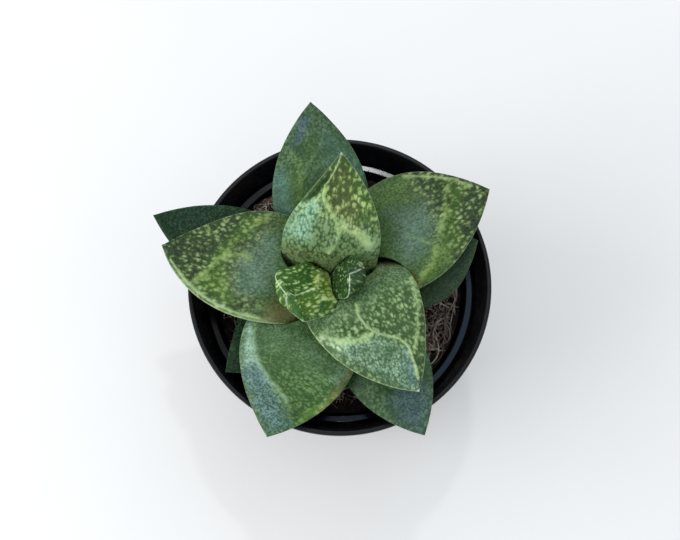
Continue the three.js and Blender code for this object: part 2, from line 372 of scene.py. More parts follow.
class Tone(Enum):
    """Kinds of tone that an area of a leaf's face can carry."""

    SAGE = "sage"
    OLIVE = "olive"
    # The bloom tone is the leaf's blue-grey bloom together with a painted sheen where flanks face
    # the light.
    BLOOM = "bloom_and_sheen"
    # The blue tone is a painted reflection of the bluish sky on glossy tips and flanks.
    BLUE = "blue"
    WARM = "warm"
    # The cream tone is a pale tone together with a painted highlight on margins and flanks that
    # face the light.
    CREAM_HIGHLIGHT = "cream_highlight"
    TAN = "tan"
    SHADE = "shade"


@dataclass(frozen=True)
class LeafFinish:
    """Skin of a leaf: pale marks on a dark ground, whose tones change from place to place.

    Each pair names the ground's colour and the marks' colour as they look in the studio. Light
    says how brightly the leaf stands there, and sheen is what its gloss adds. Cell is the size of
    a dot in millimetres, and stretch scales it across and along the leaf. Hush is how far the
    plain parts lose their dots, fade is how far the dots pale from place to place, ragged is how
    uneven their edges are, and fall is how gently they pale towards their edges. Grain, speck,
    patch and drift are sizes of noise in millimetres, from fine to broad.
    """

    deep: Pair = ("345523", "80a060")
    sage: Pair = ("46603c", "6c865c")
    olive: Pair = ("40502e", "96a56c")
    # The bloom pair holds painted sheen as well as the bloom, the blue pair is painted sky
    # reflection, and the cream pair is a pale tone with painted highlight.
    bloom_and_sheen: Pair = ("446450", "7da080")
    blue: Pair = ("5a7873", "82a091")
    warm: Pair = ("698244", "a5be7a")
    cream_highlight: Pair = ("789b70", "b9d4af")
    moss: str = "486a24"
    tan: str = "8a7850"
    seam: str = "aac88a"
    rim: str = "b4c89b"
    nib: str = "dfe6d2"
    shade: str = "1a2c16"
    light: float = 1.0
    sheen: float = 0.016
    cell: float = 1.7
    hush: float = 0.45
    fade: float = 0.4
    ragged: float = 0.7
    fall: float = 0.36
    stretch: Spot = (1.0, 0.72)
    roughness: float = 0.44
    gloss: float = 0.34
    grain: float = 0.35
    speck: float = 0.9
    patch: float = 3.4
    drift: float = 9.0
    relief: float = 0.14
    darkest: float = 0.002

    def flesh(self, code: str) -> tuple[float, float, float, float]:
        """Find the flesh's own colour from the look of it, without the gloss and the light."""
        red, green, blue, alpha = linear(code)
        bare = [max(self.darkest, (part - self.sheen) / self.light) for part in (red, green, blue)]
        return (bare[0], bare[1], bare[2], alpha)

    def material(self, name: str) -> bpy.types.Material:
        """Write the material.

        Args:
            name: Name of the material.

        Returns:
            The finished material.
        """
        r = Recipe(name)
        where = r.place("skin_place")
        along = r.vector("MULTIPLY", where, (*self.stretch, 1.0))
        grain = r.cloud(where, self.grain, 3.0, 0.65)
        patchy = r.cloud(along, self.patch, 2.0, 0.5)
        drift = r.cloud(where, self.drift, 3.0, 0.55)
        plain = r.mark("sage")

        speck = r.cloud(along, self.speck, 3.0, 0.6)
        cell = r.cells(r.warped(along, 1.6, 0.9), self.cell, True)
        small = r.cells(r.warped(along, 1.1, 0.5), self.cell * 0.58, True)
        # Dots are finer on the plain base and where the bloom and blue marks lay painted sheen and
        # painted sky reflection.
        calm = (plain + r.mark("bloom_and_sheen") + r.mark("blue")).ramp(0.0, 1.0)
        own = r.red(cell)
        far = r.far(cell) * (1 - calm) + r.far(small) * calm
        near = far + (own - 0.5) * 0.22 + (speck - 0.5) * self.ragged
        vivid = (patchy + drift - 0.72).ramp(0.1, 0.42) * self.fade + (1 - self.fade)
        cover = r.mark("cover") + r.mark("seam") * 0.16
        cover = cover + (patchy - 0.5) * 0.6 + (drift - 0.5) * 0.3
        inside = cover - near
        halo = inside.ramp(-0.36, 0.1)
        dots = inside.ramp(-0.12, self.fall) * (1 - own * 0.35) * vivid
        fine = (0.5 - r.cloud(along, 0.62, 2.0, 0.7)).ramp(-0.12, 0.12)

        ground, pale = self.flesh(self.deep[0]), self.flesh(self.deep[1])
        wander = (patchy + drift - 1.0) * 0.8
        # The tones laid here include painted sheen, painted sky reflection and painted highlight.
        for tone, pair in self.tones().items():
            share = r.mark(tone.value)
            share = (share + wander * share).ramp(0.0, 1.0)
            ground = r.blend(share, ground, self.flesh(pair[0]))
            pale = r.blend(share, pale, self.flesh(pair[1]))

        # Moss stays off the plain base and off the painted sheen and painted sky reflection.
        lush = (1 - plain) * (1 - r.mark("bloom_and_sheen")) * (1 - r.mark("blue"))
        moss = (halo * 0.7 + (drift - 0.5) * 1.2 + 0.1) * lush
        colour = r.blend(moss * 0.62, ground, self.flesh(self.moss))
        loud = 1 - (plain + r.mark("bloom_and_sheen") * (1 - plain)) * self.hush
        quiet = halo * (1 - lush) * loud * 0.34 + fine * (0.52 - loud * 0.44)
        colour = r.blend(quiet + dots * loud, colour, pale)
        colour = r.blend(drift.ramp(0.48, 0.72) * 0.28, colour, ground)
        brown = r.mark("tan") * (drift.ramp(0.2, 0.65) * 0.5 + 0.3)
        colour = r.blend(brown, colour, self.flesh(self.tan))
        glow = (r.mark("seam") + (speck - 0.5) * 3.0 + (patchy - 0.5) * 1.6).ramp(0.3, 1.2)
        glow = glow * r.mark("seam").ramp(0.05, 0.4)
        glow = glow * (dots * 0.25 + speck.ramp(0.4, 0.6) * 0.25 + 0.4)
        colour = r.blend(glow, colour, self.flesh(self.seam))
        worn = speck.ramp(0.38, 0.56) * 0.6 + 0.4
        line = (r.mark("line_far") + (speck - 0.5) * 6.0).ramp(1.6, 0.3) * r.mark("line") * worn
        colour = r.blend(line, colour, self.flesh(self.rim))
        rim = r.mark("rim_far").ramp(1.5, 0.4) * r.mark("rim") * worn
        colour = r.blend(rim, colour, self.flesh(self.rim))
        colour = r.blend(r.mark("nib"), colour, self.flesh(self.nib))
        colour = r.blend(r.mark("shade"), colour, self.flesh(self.shade))

        height = dots * 0.4 + fine * 0.25 + grain * 0.35
        rough = (grain - 0.5) * 0.18 + dots * 0.05 + self.roughness
        normal = r.bump(height, self.relief, 0.7)
        return r.surface(colour, rough, normal, {"Specular IOR Level": self.gloss})

    def tones(self) -> dict[Tone, Pair]:
        """Give the pairs that lie over the deep one, in the order in which they are laid."""
        return {
            Tone.SAGE: self.sage,
            # The bloom pair carries painted sheen, the blue pair painted sky reflection and the
            # cream pair painted highlight.
            Tone.BLOOM: self.bloom_and_sheen,
            Tone.OLIVE: self.olive,
            Tone.BLUE: self.blue,
            Tone.WARM: self.warm,
            Tone.CREAM_HIGHLIGHT: self.cream_highlight,
        }


@dataclass(frozen=True)
class PlasticFinish:
    """Thin black moulded plastic with a soft sheen, faint handling marks, dust and a worn lip."""

    black: str = "04060a"
    worn: str = "10141a"
    dust: str = "4c4a46"

    def material(self, name: str) -> bpy.types.Material:
        """Write the material under that name."""
        r = Recipe(name)
        where = r.space()
        mottle = r.cloud(where, 9.0, 4.0, 0.6)
        grain = r.cloud(where, 0.45, 2.0, 0.6)
        stretched = r.vector("MULTIPLY", where, (0.08, 0.08, 1.6))
        rubbed = r.cloud(stretched, 0.9, 3.0, 0.6)
        dusty = (r.cloud(where, 2.2, 5.0, 0.7) + (grain - 0.5) * 0.3).ramp(0.6, 0.8)
        colour = r.blend(mottle.ramp(0.35, 0.75) * 0.7, linear(self.black), linear(self.worn))
        colour = r.blend(dusty * 0.22 + r.mark("worn") * 0.06, colour, linear(self.dust))
        rough = (mottle - 0.5) * 0.12 + (rubbed - 0.5) * 0.08 + dusty * 0.25
        rough = rough + r.mark("worn") * 0.22 + 0.16
        normal = r.bump(grain * 0.6 + rubbed * 0.4, 0.015, 0.25)
        return r.surface(colour, rough, normal, {"Specular IOR Level": 0.2})


@dataclass(frozen=True)
class EarthFinish:
    """Dark peaty soil or the crumbs on it, matt, with a little brown and red."""

    black: str = "080706"
    brown: str = "241d19"
    red: str = "40291f"
    grey: str = "4c4742"

    def material(self, name: str) -> bpy.types.Material:
        """Write the material under that name."""
        r = Recipe(name)
        where = r.space()
        lump = r.cloud(where, 3.0, 4.0, 0.65)
        grain = r.cloud(where, 0.5, 3.0, 0.65)
        tint = r.red(r.cells(where, 1.6))
        colour = r.blend(lump.ramp(0.3, 0.7), linear(self.black), linear(self.brown))
        colour = r.blend(tint.ramp(0.86, 0.95) * 0.5, colour, linear(self.red))
        colour = r.blend(grain.ramp(0.58, 0.8) * 0.45, colour, linear(self.grey))
        rough = (grain - 0.5) * 0.2 + 0.88
        normal = r.bump(grain + lump, 0.4, 0.8)
        return r.surface(colour, rough, normal, {"Specular IOR Level": 0.25})


@dataclass(frozen=True)
class FibreFinish:
    """Dry coir: grey tan threads, each of its own tone, with a fine grain along them."""

    dark: str = "403833"
    middle: str = "8a7f76"
    light: str = "c2b6a4"
    red: str = "7a4a3a"

    def material(self, name: str) -> bpy.types.Material:
        """Write the material under that name."""
        r = Recipe(name)
        tone = r.mark("tone")
        where = r.space()
        grain = r.cloud(where, 0.6, 3.0, 0.65)
        colour = r.blend(tone.ramp(0.0, 0.6), linear(self.dark), linear(self.middle))
        colour = r.blend(tone.ramp(0.55, 1.0), colour, linear(self.light))
        colour = r.blend(r.mark("ruddy"), colour, linear(self.red))
        colour = r.blend(grain.ramp(0.4, 0.75) * 0.5, colour, linear(self.dark))
        rough = (grain - 0.5) * 0.2 + 0.8
        return r.surface(colour, rough, r.bump(grain, 0.1, 0.6), {"Specular IOR Level": 0.3})


@dataclass(frozen=True)
class StemFinish:
    """Corky stump in ragged bands of buff and brown."""

    buff: str = "77774f"
    brown: str = "3a2b1f"

    def material(self, name: str) -> bpy.types.Material:
        """Write the material under that name."""
        r = Recipe(name)
        where = r.space()
        bands = r.cloud(r.vector("MULTIPLY", where, (0.3, 0.3, 2.0)), 1.6, 3.0, 0.6)
        grain = r.cloud(where, 0.5, 3.0, 0.6)
        barred = (bands + (grain - 0.5) * 0.4).ramp(0.35, 0.7)
        colour = r.blend(barred, linear(self.buff), linear(self.brown))
        rough = (grain - 0.5) * 0.2 + 0.75
        normal = r.bump(bands + grain, 0.3, 0.7)
        return r.surface(colour, rough, normal, {"Specular IOR Level": 0.3})


@dataclass(frozen=True)
class FloorFinish:
    """Matt white studio paper."""

    white: str = "f4f5f5"
    shade: str = "eff0f1"

    def material(self, name: str) -> bpy.types.Material:
        """Write the material under that name."""
        r = Recipe(name)
        cloud = r.cloud(r.space(), 60.0, 2.0, 0.5)
        colour = r.blend(cloud, linear(self.white), linear(self.shade))
        normal = r.bump(cloud, 0.05, 0.1)
        return r.surface(colour, cloud * 0.05 + 0.8, normal, {"Specular IOR Level": 0.1})


# ---- mesh building --------------------------------------------------------------------------


def piece_from(name: str, points: np.ndarray, faces: list) -> bpy.types.Object:
    """Make an object from points in millimetres.

    Args:
        name: Name of the object.
        points: One point a row.
        faces: Lists of point numbers, turning anticlockwise seen from outside.

    Returns:
        The object, linked to the scene.
    """
    mesh = bpy.data.meshes.new(name)
    mesh.from_pydata((np.asarray(points) * MM).tolist(), [], faces)
    mesh.update()
    made = bpy.data.objects.new(name, mesh)
    bpy.context.scene.collection.objects.link(made)
    return made


def loft_faces(rings: int, sides: int, first: int = 0) -> list:
    """List the faces of a skin of closed rings, with a tip point and a foot point after them.

    Args:
        rings: Number of rings.
        sides: Points in each ring, anticlockwise seen from the tip.
        first: Number of the first ring's first point.

    Returns:
        Quads between rings, and triangles to the tip and the foot.
    """
    i, j = np.meshgrid(np.arange(rings - 1), np.arange(sides), indexing="ij")
    k = (j + 1) % sides
    quads = np.stack((i * sides + j, i * sides + k, (i + 1) * sides + k, (i + 1) * sides + j), -1)
    faces = (quads.reshape(-1, 4) + first).tolist()
    tip = rings * sides + first
    last = (rings - 1) * sides + first
    for a in range(sides):
        b = (a + 1) % sides
        faces.append([last + a, last + b, tip])
        faces.append([first + b, first + a, tip + 1])
    return faces


def loft(name: str, rings: np.ndarray, ends: np.ndarray) -> bpy.types.Object:
    """Make a closed object from rings of points in millimetres.

    Args:
        name: Name of the object.
        rings: Points as rings, columns and three numbers.
        ends: The tip point and the foot point that close the skin.

    Returns:
        The object, linked to the scene.
    """
    points = np.vstack((rings.reshape(-1, 3), ends))
    return piece_from(name, points, loft_faces(*rings.shape[:2]))


def write_mark(target: bpy.types.Object, name: str, values: np.ndarray) -> None:
    """Store a number at each of a mesh's points."""
    layer = target.data.attributes.new(name, "FLOAT", "POINT")
    layer.data.foreach_set("value", np.asarray(values, np.float32).ravel())


def write_place(target: bpy.types.Object, name: str, values: np.ndarray) -> None:
    """Store a vector at each of a mesh's points."""
    layer = target.data.attributes.new(name, "FLOAT_VECTOR", "POINT")
    layer.data.foreach_set("vector", np.asarray(values, np.float32).ravel())


def carve(body: bpy.types.Object, tool: bpy.types.Object, operation: str = "DIFFERENCE") -> None:
    """Cut a closed mesh with another, or join them, for good.

    Args:
        body: The mesh that changes.
        tool: The mesh that it is cut with or joined to.
        operation: DIFFERENCE or UNION.
    """
    cut = body.modifiers.new("carve", "BOOLEAN")
    cut.operation = operation
    cut.solver = "MANIFOLD"
    cut.object = tool
    graph = bpy.context.evaluated_depsgraph_get()
    result = bpy.data.meshes.new_from_object(
        body.evaluated_get(graph), preserve_all_data_layers=True, depsgraph=graph
    )
    body.modifiers.clear()
    old = body.data
    result.name = old.name
    body.data = result
    bpy.data.meshes.remove(old)


def discard(tool: bpy.types.Object) -> None:
    """Remove a helper object and its mesh."""
    mesh = tool.data
    bpy.data.objects.remove(tool)
    bpy.data.meshes.remove(mesh)


def spend(body: bpy.types.Object, tool: bpy.types.Object, operation: str = "DIFFERENCE") -> None:
    """Cut a closed mesh with a helper, or join the helper to it, and remove the helper."""
    carve(body, tool, operation)
    discard(tool)


def keep_largest(target: bpy.types.Object) -> None:
    """Drop every loose scrap of a mesh but its largest part."""
    edit = bmesh.new()
    edit.from_mesh(target.data)
    unseen = set(edit.verts)
    parts = []
    while unseen:
        stack = [unseen.pop()]
        part = [stack[0]]
        while stack:
            for edge in stack.pop().link_edges:
                for vert in edge.verts:
                    if vert in unseen:
                        unseen.remove(vert)
                        stack.append(vert)
                        part.append(vert)
        parts.append(part)
    parts.sort(key=len)
    for part in parts[:-1]:
        bmesh.ops.delete(edit, geom=part, context="VERTS")
    edit.to_mesh(target.data)
    edit.free()


def smooth_but(target: bpy.types.Object, angle: float) -> None:
    """Shade a mesh smooth except along edges sharper than an angle in degrees."""
    edit = bmesh.new()
    edit.from_mesh(target.data)
    limit = math.radians(angle)
    for face in edit.faces:
        face.smooth = True
    for edge in edit.edges:
        edge.smooth = edge.calc_face_angle(0.0) < limit
    edit.to_mesh(target.data)
    edit.free()


def dress(target: bpy.types.Object, finish: bpy.types.Material, slot: str, *nodes: str) -> None:
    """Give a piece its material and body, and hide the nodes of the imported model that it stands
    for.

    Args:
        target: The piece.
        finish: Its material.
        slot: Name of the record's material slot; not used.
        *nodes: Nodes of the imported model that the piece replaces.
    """
    target.data.materials.clear()
    target.data.materials.append(finish)
    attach(target, ROOT)
    if nodes:
        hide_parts(*nodes)
    triangles = sum(len(p.vertices) - 2 for p in target.data.polygons)
    log.info("%s: %d triangles", target.name, triangles)


# ---- leaves ---------------------------------------------------------------------------------

THINNED = 0.97  # how far the thinning has gone at the tip
KEEL_LEAST = 0.35  # depth of the keel where the leaf has no width, as a share of the full depth
FACE_ARCH = 0.5  # powers of the section's arches
KEEL_ARCH = 0.8
ROW_CROWDING = 1.2  # rings stand closer together towards the tip
SEAT_CROWDING = 1.5
COURSE_STEPS = 201  # steps in which the midrib's length is measured
SPAN_STEPS = 6  # points of a seam between two points of its path
CREST_ROUND = 0.25  # millimetres over which a seam's crest is rounded
BOWL_REACH = 4.5  # millimetres from a seam to the deepest part of the hollow beside it
LINE_HALF = 0.27  # half width of a crisp line on the face, in millimetres
LINE_REACH = 9.0  # half widths from such a line at which nothing of it shows
KEEL_LINE_HALF = 0.13
NOT_NEAR = 99.0  # stands for any distance at which a seam does nothing
BEAD_HEIGHT = 0.12  # the bead along a leaf's margin, in millimetres
BEAD_REACH = 0.45
WAVES = ((17.0, 0.22), (6.5, 0.07))  # length and height of the face's broad and fine waves
KEEL_BANDS = (6.5, 0.06)  # length of the cross bands on the underside, and their strength
WANDER = (5, 5.0, 0.3)  # seed, length and size of the waves that seams take, in millimetres
WOBBLE = (9, 6.0, 0.9)  # the same for the edges of areas
RELIEF_START = (0.1, 2.2)  # distances from the margin at which relief starts and is full
TIP_CALM = (0.0, 6.0)  # distances from the tip at which waves start and are full
BEAD_START = (0.5, 4.0)  # the same for the bead
NIB_FADE = (0.9, 0.2)  # distances from the tip between which the pale nib comes up
RIM_START = (0.12, 0.4)  # shares of the course between which the pale margins come up
RIM_FADE = 0.03  # share of the course over which they end
PLACE_SHIFT = 20.0  # keeps the marks of one leaf from being those of the next
LEAF_CREASE = 38.0  # edges sharper than this are shaded as edges, in degrees


@dataclass(frozen=True)
class Seam:
    """A raised pale line on a leaf's face, where its neighbour pressed it in the bud.

    The path's points are shares of the leaf's length and half width, with + to the left. Height
    and width are those of the raised crest, and hollow is how deep the face sinks to the right
    and to the left of the path, followed from its first point, all in millimetres. Colour is the
    strength of the pale glow about it, spread is the glow's reach in millimetres, and line is the
    strength of a crisp line along the crest. A seam that is under lies on the keel, and has no
    relief.
    """

    path: tuple[Spot, ...]
    height: float = 0.3
    width: float = 0.75
    hollow: tuple[float, float] = (0.4, 0.4)
    colour: float = 0.8
    spread: float = 1.1
    line: float = 0.0
    under: bool = False


@dataclass(frozen=True)
class Area:
    """A part of a leaf's face with a tone of its own. Its corners are given as a seam's are.

    Amount is how strong the tone is, soft is how wide its edge is in millimetres, and cover, where
    it isn't 0, is how much of the area its marks take.
    """

    tone: Tone
    corners: tuple[Spot, ...]
    amount: float = 1.0
    soft: float = 1.4
    cover: float = 0.0


@dataclass
class Leaf:
    """One leaf: a lofted skin round an arched midrib, with seams, areas of tone and margins.

    The midrib leaves the root as steeply as stand says, and comes to the tip with the slope of
    pitch, swung aside by sweep. Rise and reach are how far each end keeps to its own direction,
    and turn is how far the leaf's width is turned about the upright. The leaf is widest at the
    share of its course that widest gives. Foot is its width at the root as a share of that, and
    taper and thinning are how late it narrows and thins. Crown and belly are the heights of its
    face and its keel, cup is how far its margins stand up, and headroom is how much room its face
    keeps below older leaves.

    Points, widths, rise, reach, crown, belly, cup and headroom are in millimetres, and stand,
    pitch, sweep and turn in degrees. Where there are two numbers for the sides, the left one
    comes first, looking from the stem outwards. Cover is how much of the face the marks take, as
    pairs of share of the length and amount. Sage_to is where the plain base starts to end and
    has ended, tan_to is where the brown one ends, and rim_to is where the pale margins end.
    """

    name: str
    tip: Point
    root: Point
    half_width: Spot
    stand: float = 76.0
    rise: float = 26.0
    reach: float = 22.0
    pitch: float = 5.0
    sweep: float = 0.0
    turn: float = 0.0
    widest: float = 0.46
    foot: float = 0.6
    taper: Spot = (2.0, 2.0)
    crown: float = 3.0
    belly: float = 6.0
    thinning: float = 2.4
    cup: Spot = (0.0, 0.0)
    headroom: float = 4.0
    face_fullness: float = 2.6
    keel_sharpness: float = 1.4
    rows: int = 150
    face_columns: int = 92
    keel_columns: int = 38
    seat_rings: int = 24
    seat_sides: int = 32
    seat_room: float = 0.16
    seams: tuple[Seam, ...] = ()
    areas: tuple[Area, ...] = ()
    cover: tuple[Spot, ...] = ((0.0, 0.47), (0.5, 0.44), (0.7, 0.34), (1.0, 0.28))
    keel_cover: float = 0.36
    sage_to: Spot = (0.45, 0.75)
    tan_to: float = 0.26
    tan: float = 0.25
    rim_width: Spot = (0.3, 0.3)
    rim_to: Spot = (1.1, 1.1)
    rim: float = 0.75
    nib: float = 0.6
    seed: int = 0
    slot: str = "grown_leaf"
    finish: LeafFinish = field(default_factory=LeafFinish)

    def heading(self, turn: float) -> np.ndarray:
        """Give the level direction from root to tip, turned about the upright by degrees."""
        away = np.array((self.tip[0] - self.root[0], self.tip[1] - self.root[1], 0.0))
        away /= np.linalg.norm(away)
        c, s = math.cos(math.radians(turn)), math.sin(math.radians(turn))
        return np.array((c * away[0] - s * away[1], s * away[0] + c * away[1], 0.0))

    def handles(self) -> np.ndarray:
        """Give the four control points of the midrib's curve."""
        root, tip = np.array(self.root), np.array(self.tip)
        stand, pitch = math.radians(self.stand), math.radians(self.pitch)
        leave = math.cos(stand) * self.heading(0.0) + math.sin(stand) * UP
        arrive = math.cos(pitch) * self.heading(self.sweep) + math.sin(pitch) * UP
        return np.array((root, root + self.rise * leave, tip - self.reach * arrive, tip))

    def midrib(self, s: np.ndarray) -> tuple[np.ndarray, np.ndarray]:
        """Follow the midrib.

        Args:
            s: Shares of the curve's course, from 0 at the root to 1 at the tip.

        Returns:
            Points and unit tangents.
        """
        p = self.handles()
        t = s[:, None]
        u = 1 - t
        points = u**3 * p[0] + 3 * u**2 * t * p[1] + 3 * u * t**2 * p[2] + t**3 * p[3]
        slopes = u**2 * (p[1] - p[0]) + 2 * u * t * (p[2] - p[1]) + t**2 * (p[3] - p[2])
        return points, unit(slopes)

    def width_share(self, s: np.ndarray, taper: float) -> np.ndarray:
        """Give the half width at s as a share of the widest, for one side's taper."""
        below = np.clip(s / self.widest, 0, 1)
        above = np.clip((s - self.widest) / (1 - self.widest), 0, 1)
        foot = self.foot + (1 - self.foot) * np.sin(np.pi / 2 * below)
        return np.where(s < self.widest, foot, 1 - above**taper)

    def widths(self, s: np.ndarray) -> tuple[np.ndarray, np.ndarray]:
        """Give the left and the right half width in millimetres at s."""
        left, right = (w * self.width_share(s, t) for w, t in zip(self.half_width, self.taper))
        return left, right

    def skin(self, s: np.ndarray, angles: np.ndarray, grow: float, lift: float) -> np.ndarray:
        """Work out the points of the leaf's rings.

        Args:
            s: Share of the length at each ring.
            angles: Place of each column round the ring, 0 at the left margin, in radians.
            grow: How much larger the skin is all round.
            lift: How much higher its face is.

        Returns:
            Points as rings, columns and three numbers.
        """
        centres, along = self.midrib(s)
        across = np.cross(UP, self.heading(self.turn))[None] * np.ones((len(s), 1))
        across = unit(across - (along * across).sum(-1, keepdims=True) * along)
        normals = np.cross(along, across)
        left, right = (half + grow for half in self.widths(s))
        share = (left + right) / sum(self.half_width)
        thick = np.sqrt(1 - (THINNED * s) ** self.thinning)
        face = self.crown * thick + grow + lift
        depth = np.minimum(1, KEEL_LEAST + (1 - KEEL_LEAST) * share)
        keel = self.belly * thick * depth + grow
        c = np.cos(angles)
        out = np.clip(np.abs(c), 0, 1)
        upper = face[:, None] * (1 - out**self.face_fullness) ** FACE_ARCH
        lower = -keel[:, None] * (1 - out**self.keel_sharpness) ** KEEL_ARCH
        cup = by_side(c, self.cup)
        height = np.where(np.sin(angles) > 0, upper, lower) + cup * share[:, None] * c * c
        side = np.where(c >= 0, left[:, None], right[:, None]) * c
        level = centres[:, None] + side[..., None] * across[:, None]
        return level + height[..., None] * normals[:, None]

    def ends(self, grow: float) -> np.ndarray:
        """Give the tip point and the foot point that close the skin."""
        points, slopes = self.midrib(np.array((0.0, 1.0)))
        return np.array((points[1] + grow * slopes[1], points[0] - grow * slopes[0]))

    def seat(self) -> bpy.types.Object:
        """Build the coarse, slightly larger form that hollows older leaves."""
        s = 1 - (1 - np.arange(self.seat_rings) / self.seat_rings) ** SEAT_CROWDING
        skin = self.skin(s, turns(self.seat_sides), self.seat_room, self.headroom)
        return loft(self.name + "_seat", skin, self.ends(self.seat_room))

    def flat(self, s: np.ndarray, c: np.ndarray) -> np.ndarray:
        """Lay places on the face out flat, in millimetres across and along."""
        steps = np.linspace(0, 1, COURSE_STEPS)
        course, _ = self.midrib(steps)
        length = np.concatenate(((0,), np.cumsum(np.linalg.norm(np.diff(course, axis=0), axis=1))))
        return np.stack((c * by_side(c, self.widths(s)), np.interp(s, steps, length)), -1)

    def path(self, spots: tuple[Spot, ...], closed: bool) -> np.ndarray:
        """Turn a path in shares into a smooth or straight line on the flat layout.

        Args:
            spots: The path's points in shares.
            closed: True for an area's outline, which stays straight between corners.

        Returns:
            Points of the line in millimetres.
        """
        knots = np.array(spots)
        line = self.flat(knots[:, 0], knots[:, 1])
        if closed:
            return np.vstack((line, line[:1]))
        before, after = 2 * line[0] - line[1], 2 * line[-1] - line[-2]
        p = np.vstack((before, line, after))
        t = np.linspace(0, 1, SPAN_STEPS + 1)[:-1, None]
        smooth = []
        for a, b, c, d in zip(p[:-3], p[1:-2], p[2:-1], p[3:]):
            square, cube = 2 * a - 5 * b + 4 * c - d, 3 * b - 3 * c + d - a
            smooth.append(0.5 * (2 * b + (c - a) * t + square * t**2 + cube * t**3))
        return np.vstack((*smooth, line[-1:]))

    @staticmethod
    def offset(places: np.ndarray, line: np.ndarray) -> tuple[np.ndarray, np.ndarray]:
        """Measure places against a line.

        Args:
            places: Places on the flat layout.
            line: Points of the line.

        Returns:
            The distance to the line, and 1 to the right of it or -1 to the left, as the leaf is
            seen from above by an eye that follows the line.
        """
        best = np.full(len(places), 1e9)
        side = np.ones(len(places))
        for a, b in zip(line[:-1], line[1:]):
            step = b - a
            t = np.clip(((places - a) @ step) / max(step @ step, 1e-12), 0, 1)
            gap = places - a - t[:, None] * step
            far = np.hypot(gap[:, 0], gap[:, 1])
            turn = np.sign(step[0] * gap[:, 1] - step[1] * gap[:, 0])
            closer = far < best
            best = np.where(closer, far, best)
            side = np.where(closer, turn, side)
        return best, side

    @staticmethod
    def inside(places: np.ndarray, line: np.ndarray) -> np.ndarray:
        """Say which places lie inside a closed outline."""
        found = np.zeros(len(places), bool)
        for a, b in zip(line[:-1], line[1:]):
            spans = (a[1] > places[:, 1]) != (b[1] > places[:, 1])
            rise = b[1] - a[1] if abs(b[1] - a[1]) > 1e-9 else 1e-9
            found ^= spans & (places[:, 0] < a[0] + (places[:, 1] - a[1]) * (b[0] - a[0]) / rise)
        return found

    def waves(self, places: np.ndarray, shift: int, length: float, size: float) -> np.ndarray:
        """Make soft random waves over the flat layout.

        Args:
            places: Places on the flat layout.
            shift: What is added to the leaf's own seed.
            length: Mean length of a wave in millimetres.
            size: Size of the waves in millimetres.

        Returns:
            The waves' value at each place.
        """
        return Ripple(self.seed + shift, length).at(np.pad(places, ((0, 0), (0, 1)))) * size

    def relief(self, places: np.ndarray, room: np.ndarray, back: np.ndarray) -> Layers:
        """Work out the height and the colours of the seams.

        Args:
            places: Places on the flat layout.
            room: Share of the height that is allowed, falling to 0 at the margins.
            back: True at the places on the underside.

        Returns:
            At each place the height in millimetres, how much the seam adds to the marks, and for
            crisp lines the distance to the nearest, in half widths of a line, and its strength.
        """
        height, seam, line = (np.zeros(len(places)) for _ in range(3))
        line_far = np.full(len(places), LINE_REACH)
        wander = self.waves(places, *WANDER)
        for pressed in self.seams:
            far, side = self.offset(places, self.path(pressed.path, False))
            far = np.where(back == pressed.under, far, NOT_NEAR)
            loose = np.abs(far + wander * np.minimum(1, far / 2))
            sink = np.where(side > 0, pressed.hollow[0], pressed.hollow[1])
            bowl = loose / BOWL_REACH
            crest = np.exp(-(np.hypot(loose, CREST_ROUND) - CREST_ROUND) / pressed.width)
            height += pressed.height * crest - sink * bowl * np.exp(1 - bowl)
            seam = np.maximum(seam, pressed.colour * np.exp(-((loose / pressed.spread) ** 2)))
            if pressed.line > 0:
                half = KEEL_LINE_HALF if pressed.under else LINE_HALF
                line = np.where(far / half < line_far, pressed.line, line)
                line_far = np.minimum(line_far, far / half)
        height = np.where(back, 0.0, height * room)
        return {"height": height, "seam": seam, "line": line, "line_far": line_far}

    def tones(self, places: np.ndarray, s: np.ndarray, back: np.ndarray) -> Layers:
        """Work out how strong each tone is and how much of the skin the marks cover.

        Args:
            places: Places on the flat layout.
            s: Share of the length at each place.
            back: True at the places on the underside.

        Returns:
            Numbers from 0 to 1 at each place, by name.
        """
        wobble = self.waves(places, *WOBBLE)
        marks = {tone: np.zeros(len(places)) for tone in Tone}
        marks[Tone.SAGE] = ease(s + 0.02 * wobble, self.sage_to[1], self.sage_to[0])
        marks[Tone.TAN] = self.tan * ease(s + 0.01 * wobble, self.tan_to + 0.1, self.tan_to - 0.05)
        cover = np.interp(s, *np.array(self.cover).T)
        for area in self.areas:
            line = self.path(area.corners, True)
            far, _ = self.offset(places, line)
            deep = np.where(self.inside(places, line), far, -far) + 0.4 * wobble
            share = ease(deep, -area.soft, area.soft)
            laid = marks[area.tone] * (1 - share) + area.amount * share
            marks[area.tone] = np.where(back, marks[area.tone], laid)
            if area.cover > 0:
                cover = cover * (1 - share) + area.cover * share
        length, strength = KEEL_BANDS
        bands = np.sin(2 * np.pi * places[:, 1] / length + 1.5 * wobble)
        bands = self.keel_cover + strength * bands
        layers = {tone.value: values for tone, values in marks.items()}
        layers["cover"] = np.where(back, bands, cover)
        layers["sage"] = np.where(back, 0.5 * layers["sage"], layers["sage"])
        return layers

    def to_margin(self, skin: np.ndarray) -> np.ndarray:
        """Measure how far each point of the skin lies from the leaf's margin, in millimetres."""
        margin = np.vstack((skin[:, 0], self.tip, skin[::-1, self.face_columns]))
        steps = np.arange(0, len(margin) - 1, 0.25)
        knots = np.arange(len(margin))
        fine = np.stack([np.interp(steps, knots, margin[:, i]) for i in range(3)], -1)
        tree = KDTree(len(fine))
        for i, point in enumerate(fine):
            tree.insert(point, i)
        tree.balance()
        return np.array([[tree.find(point)[2] for point in ring] for ring in skin])

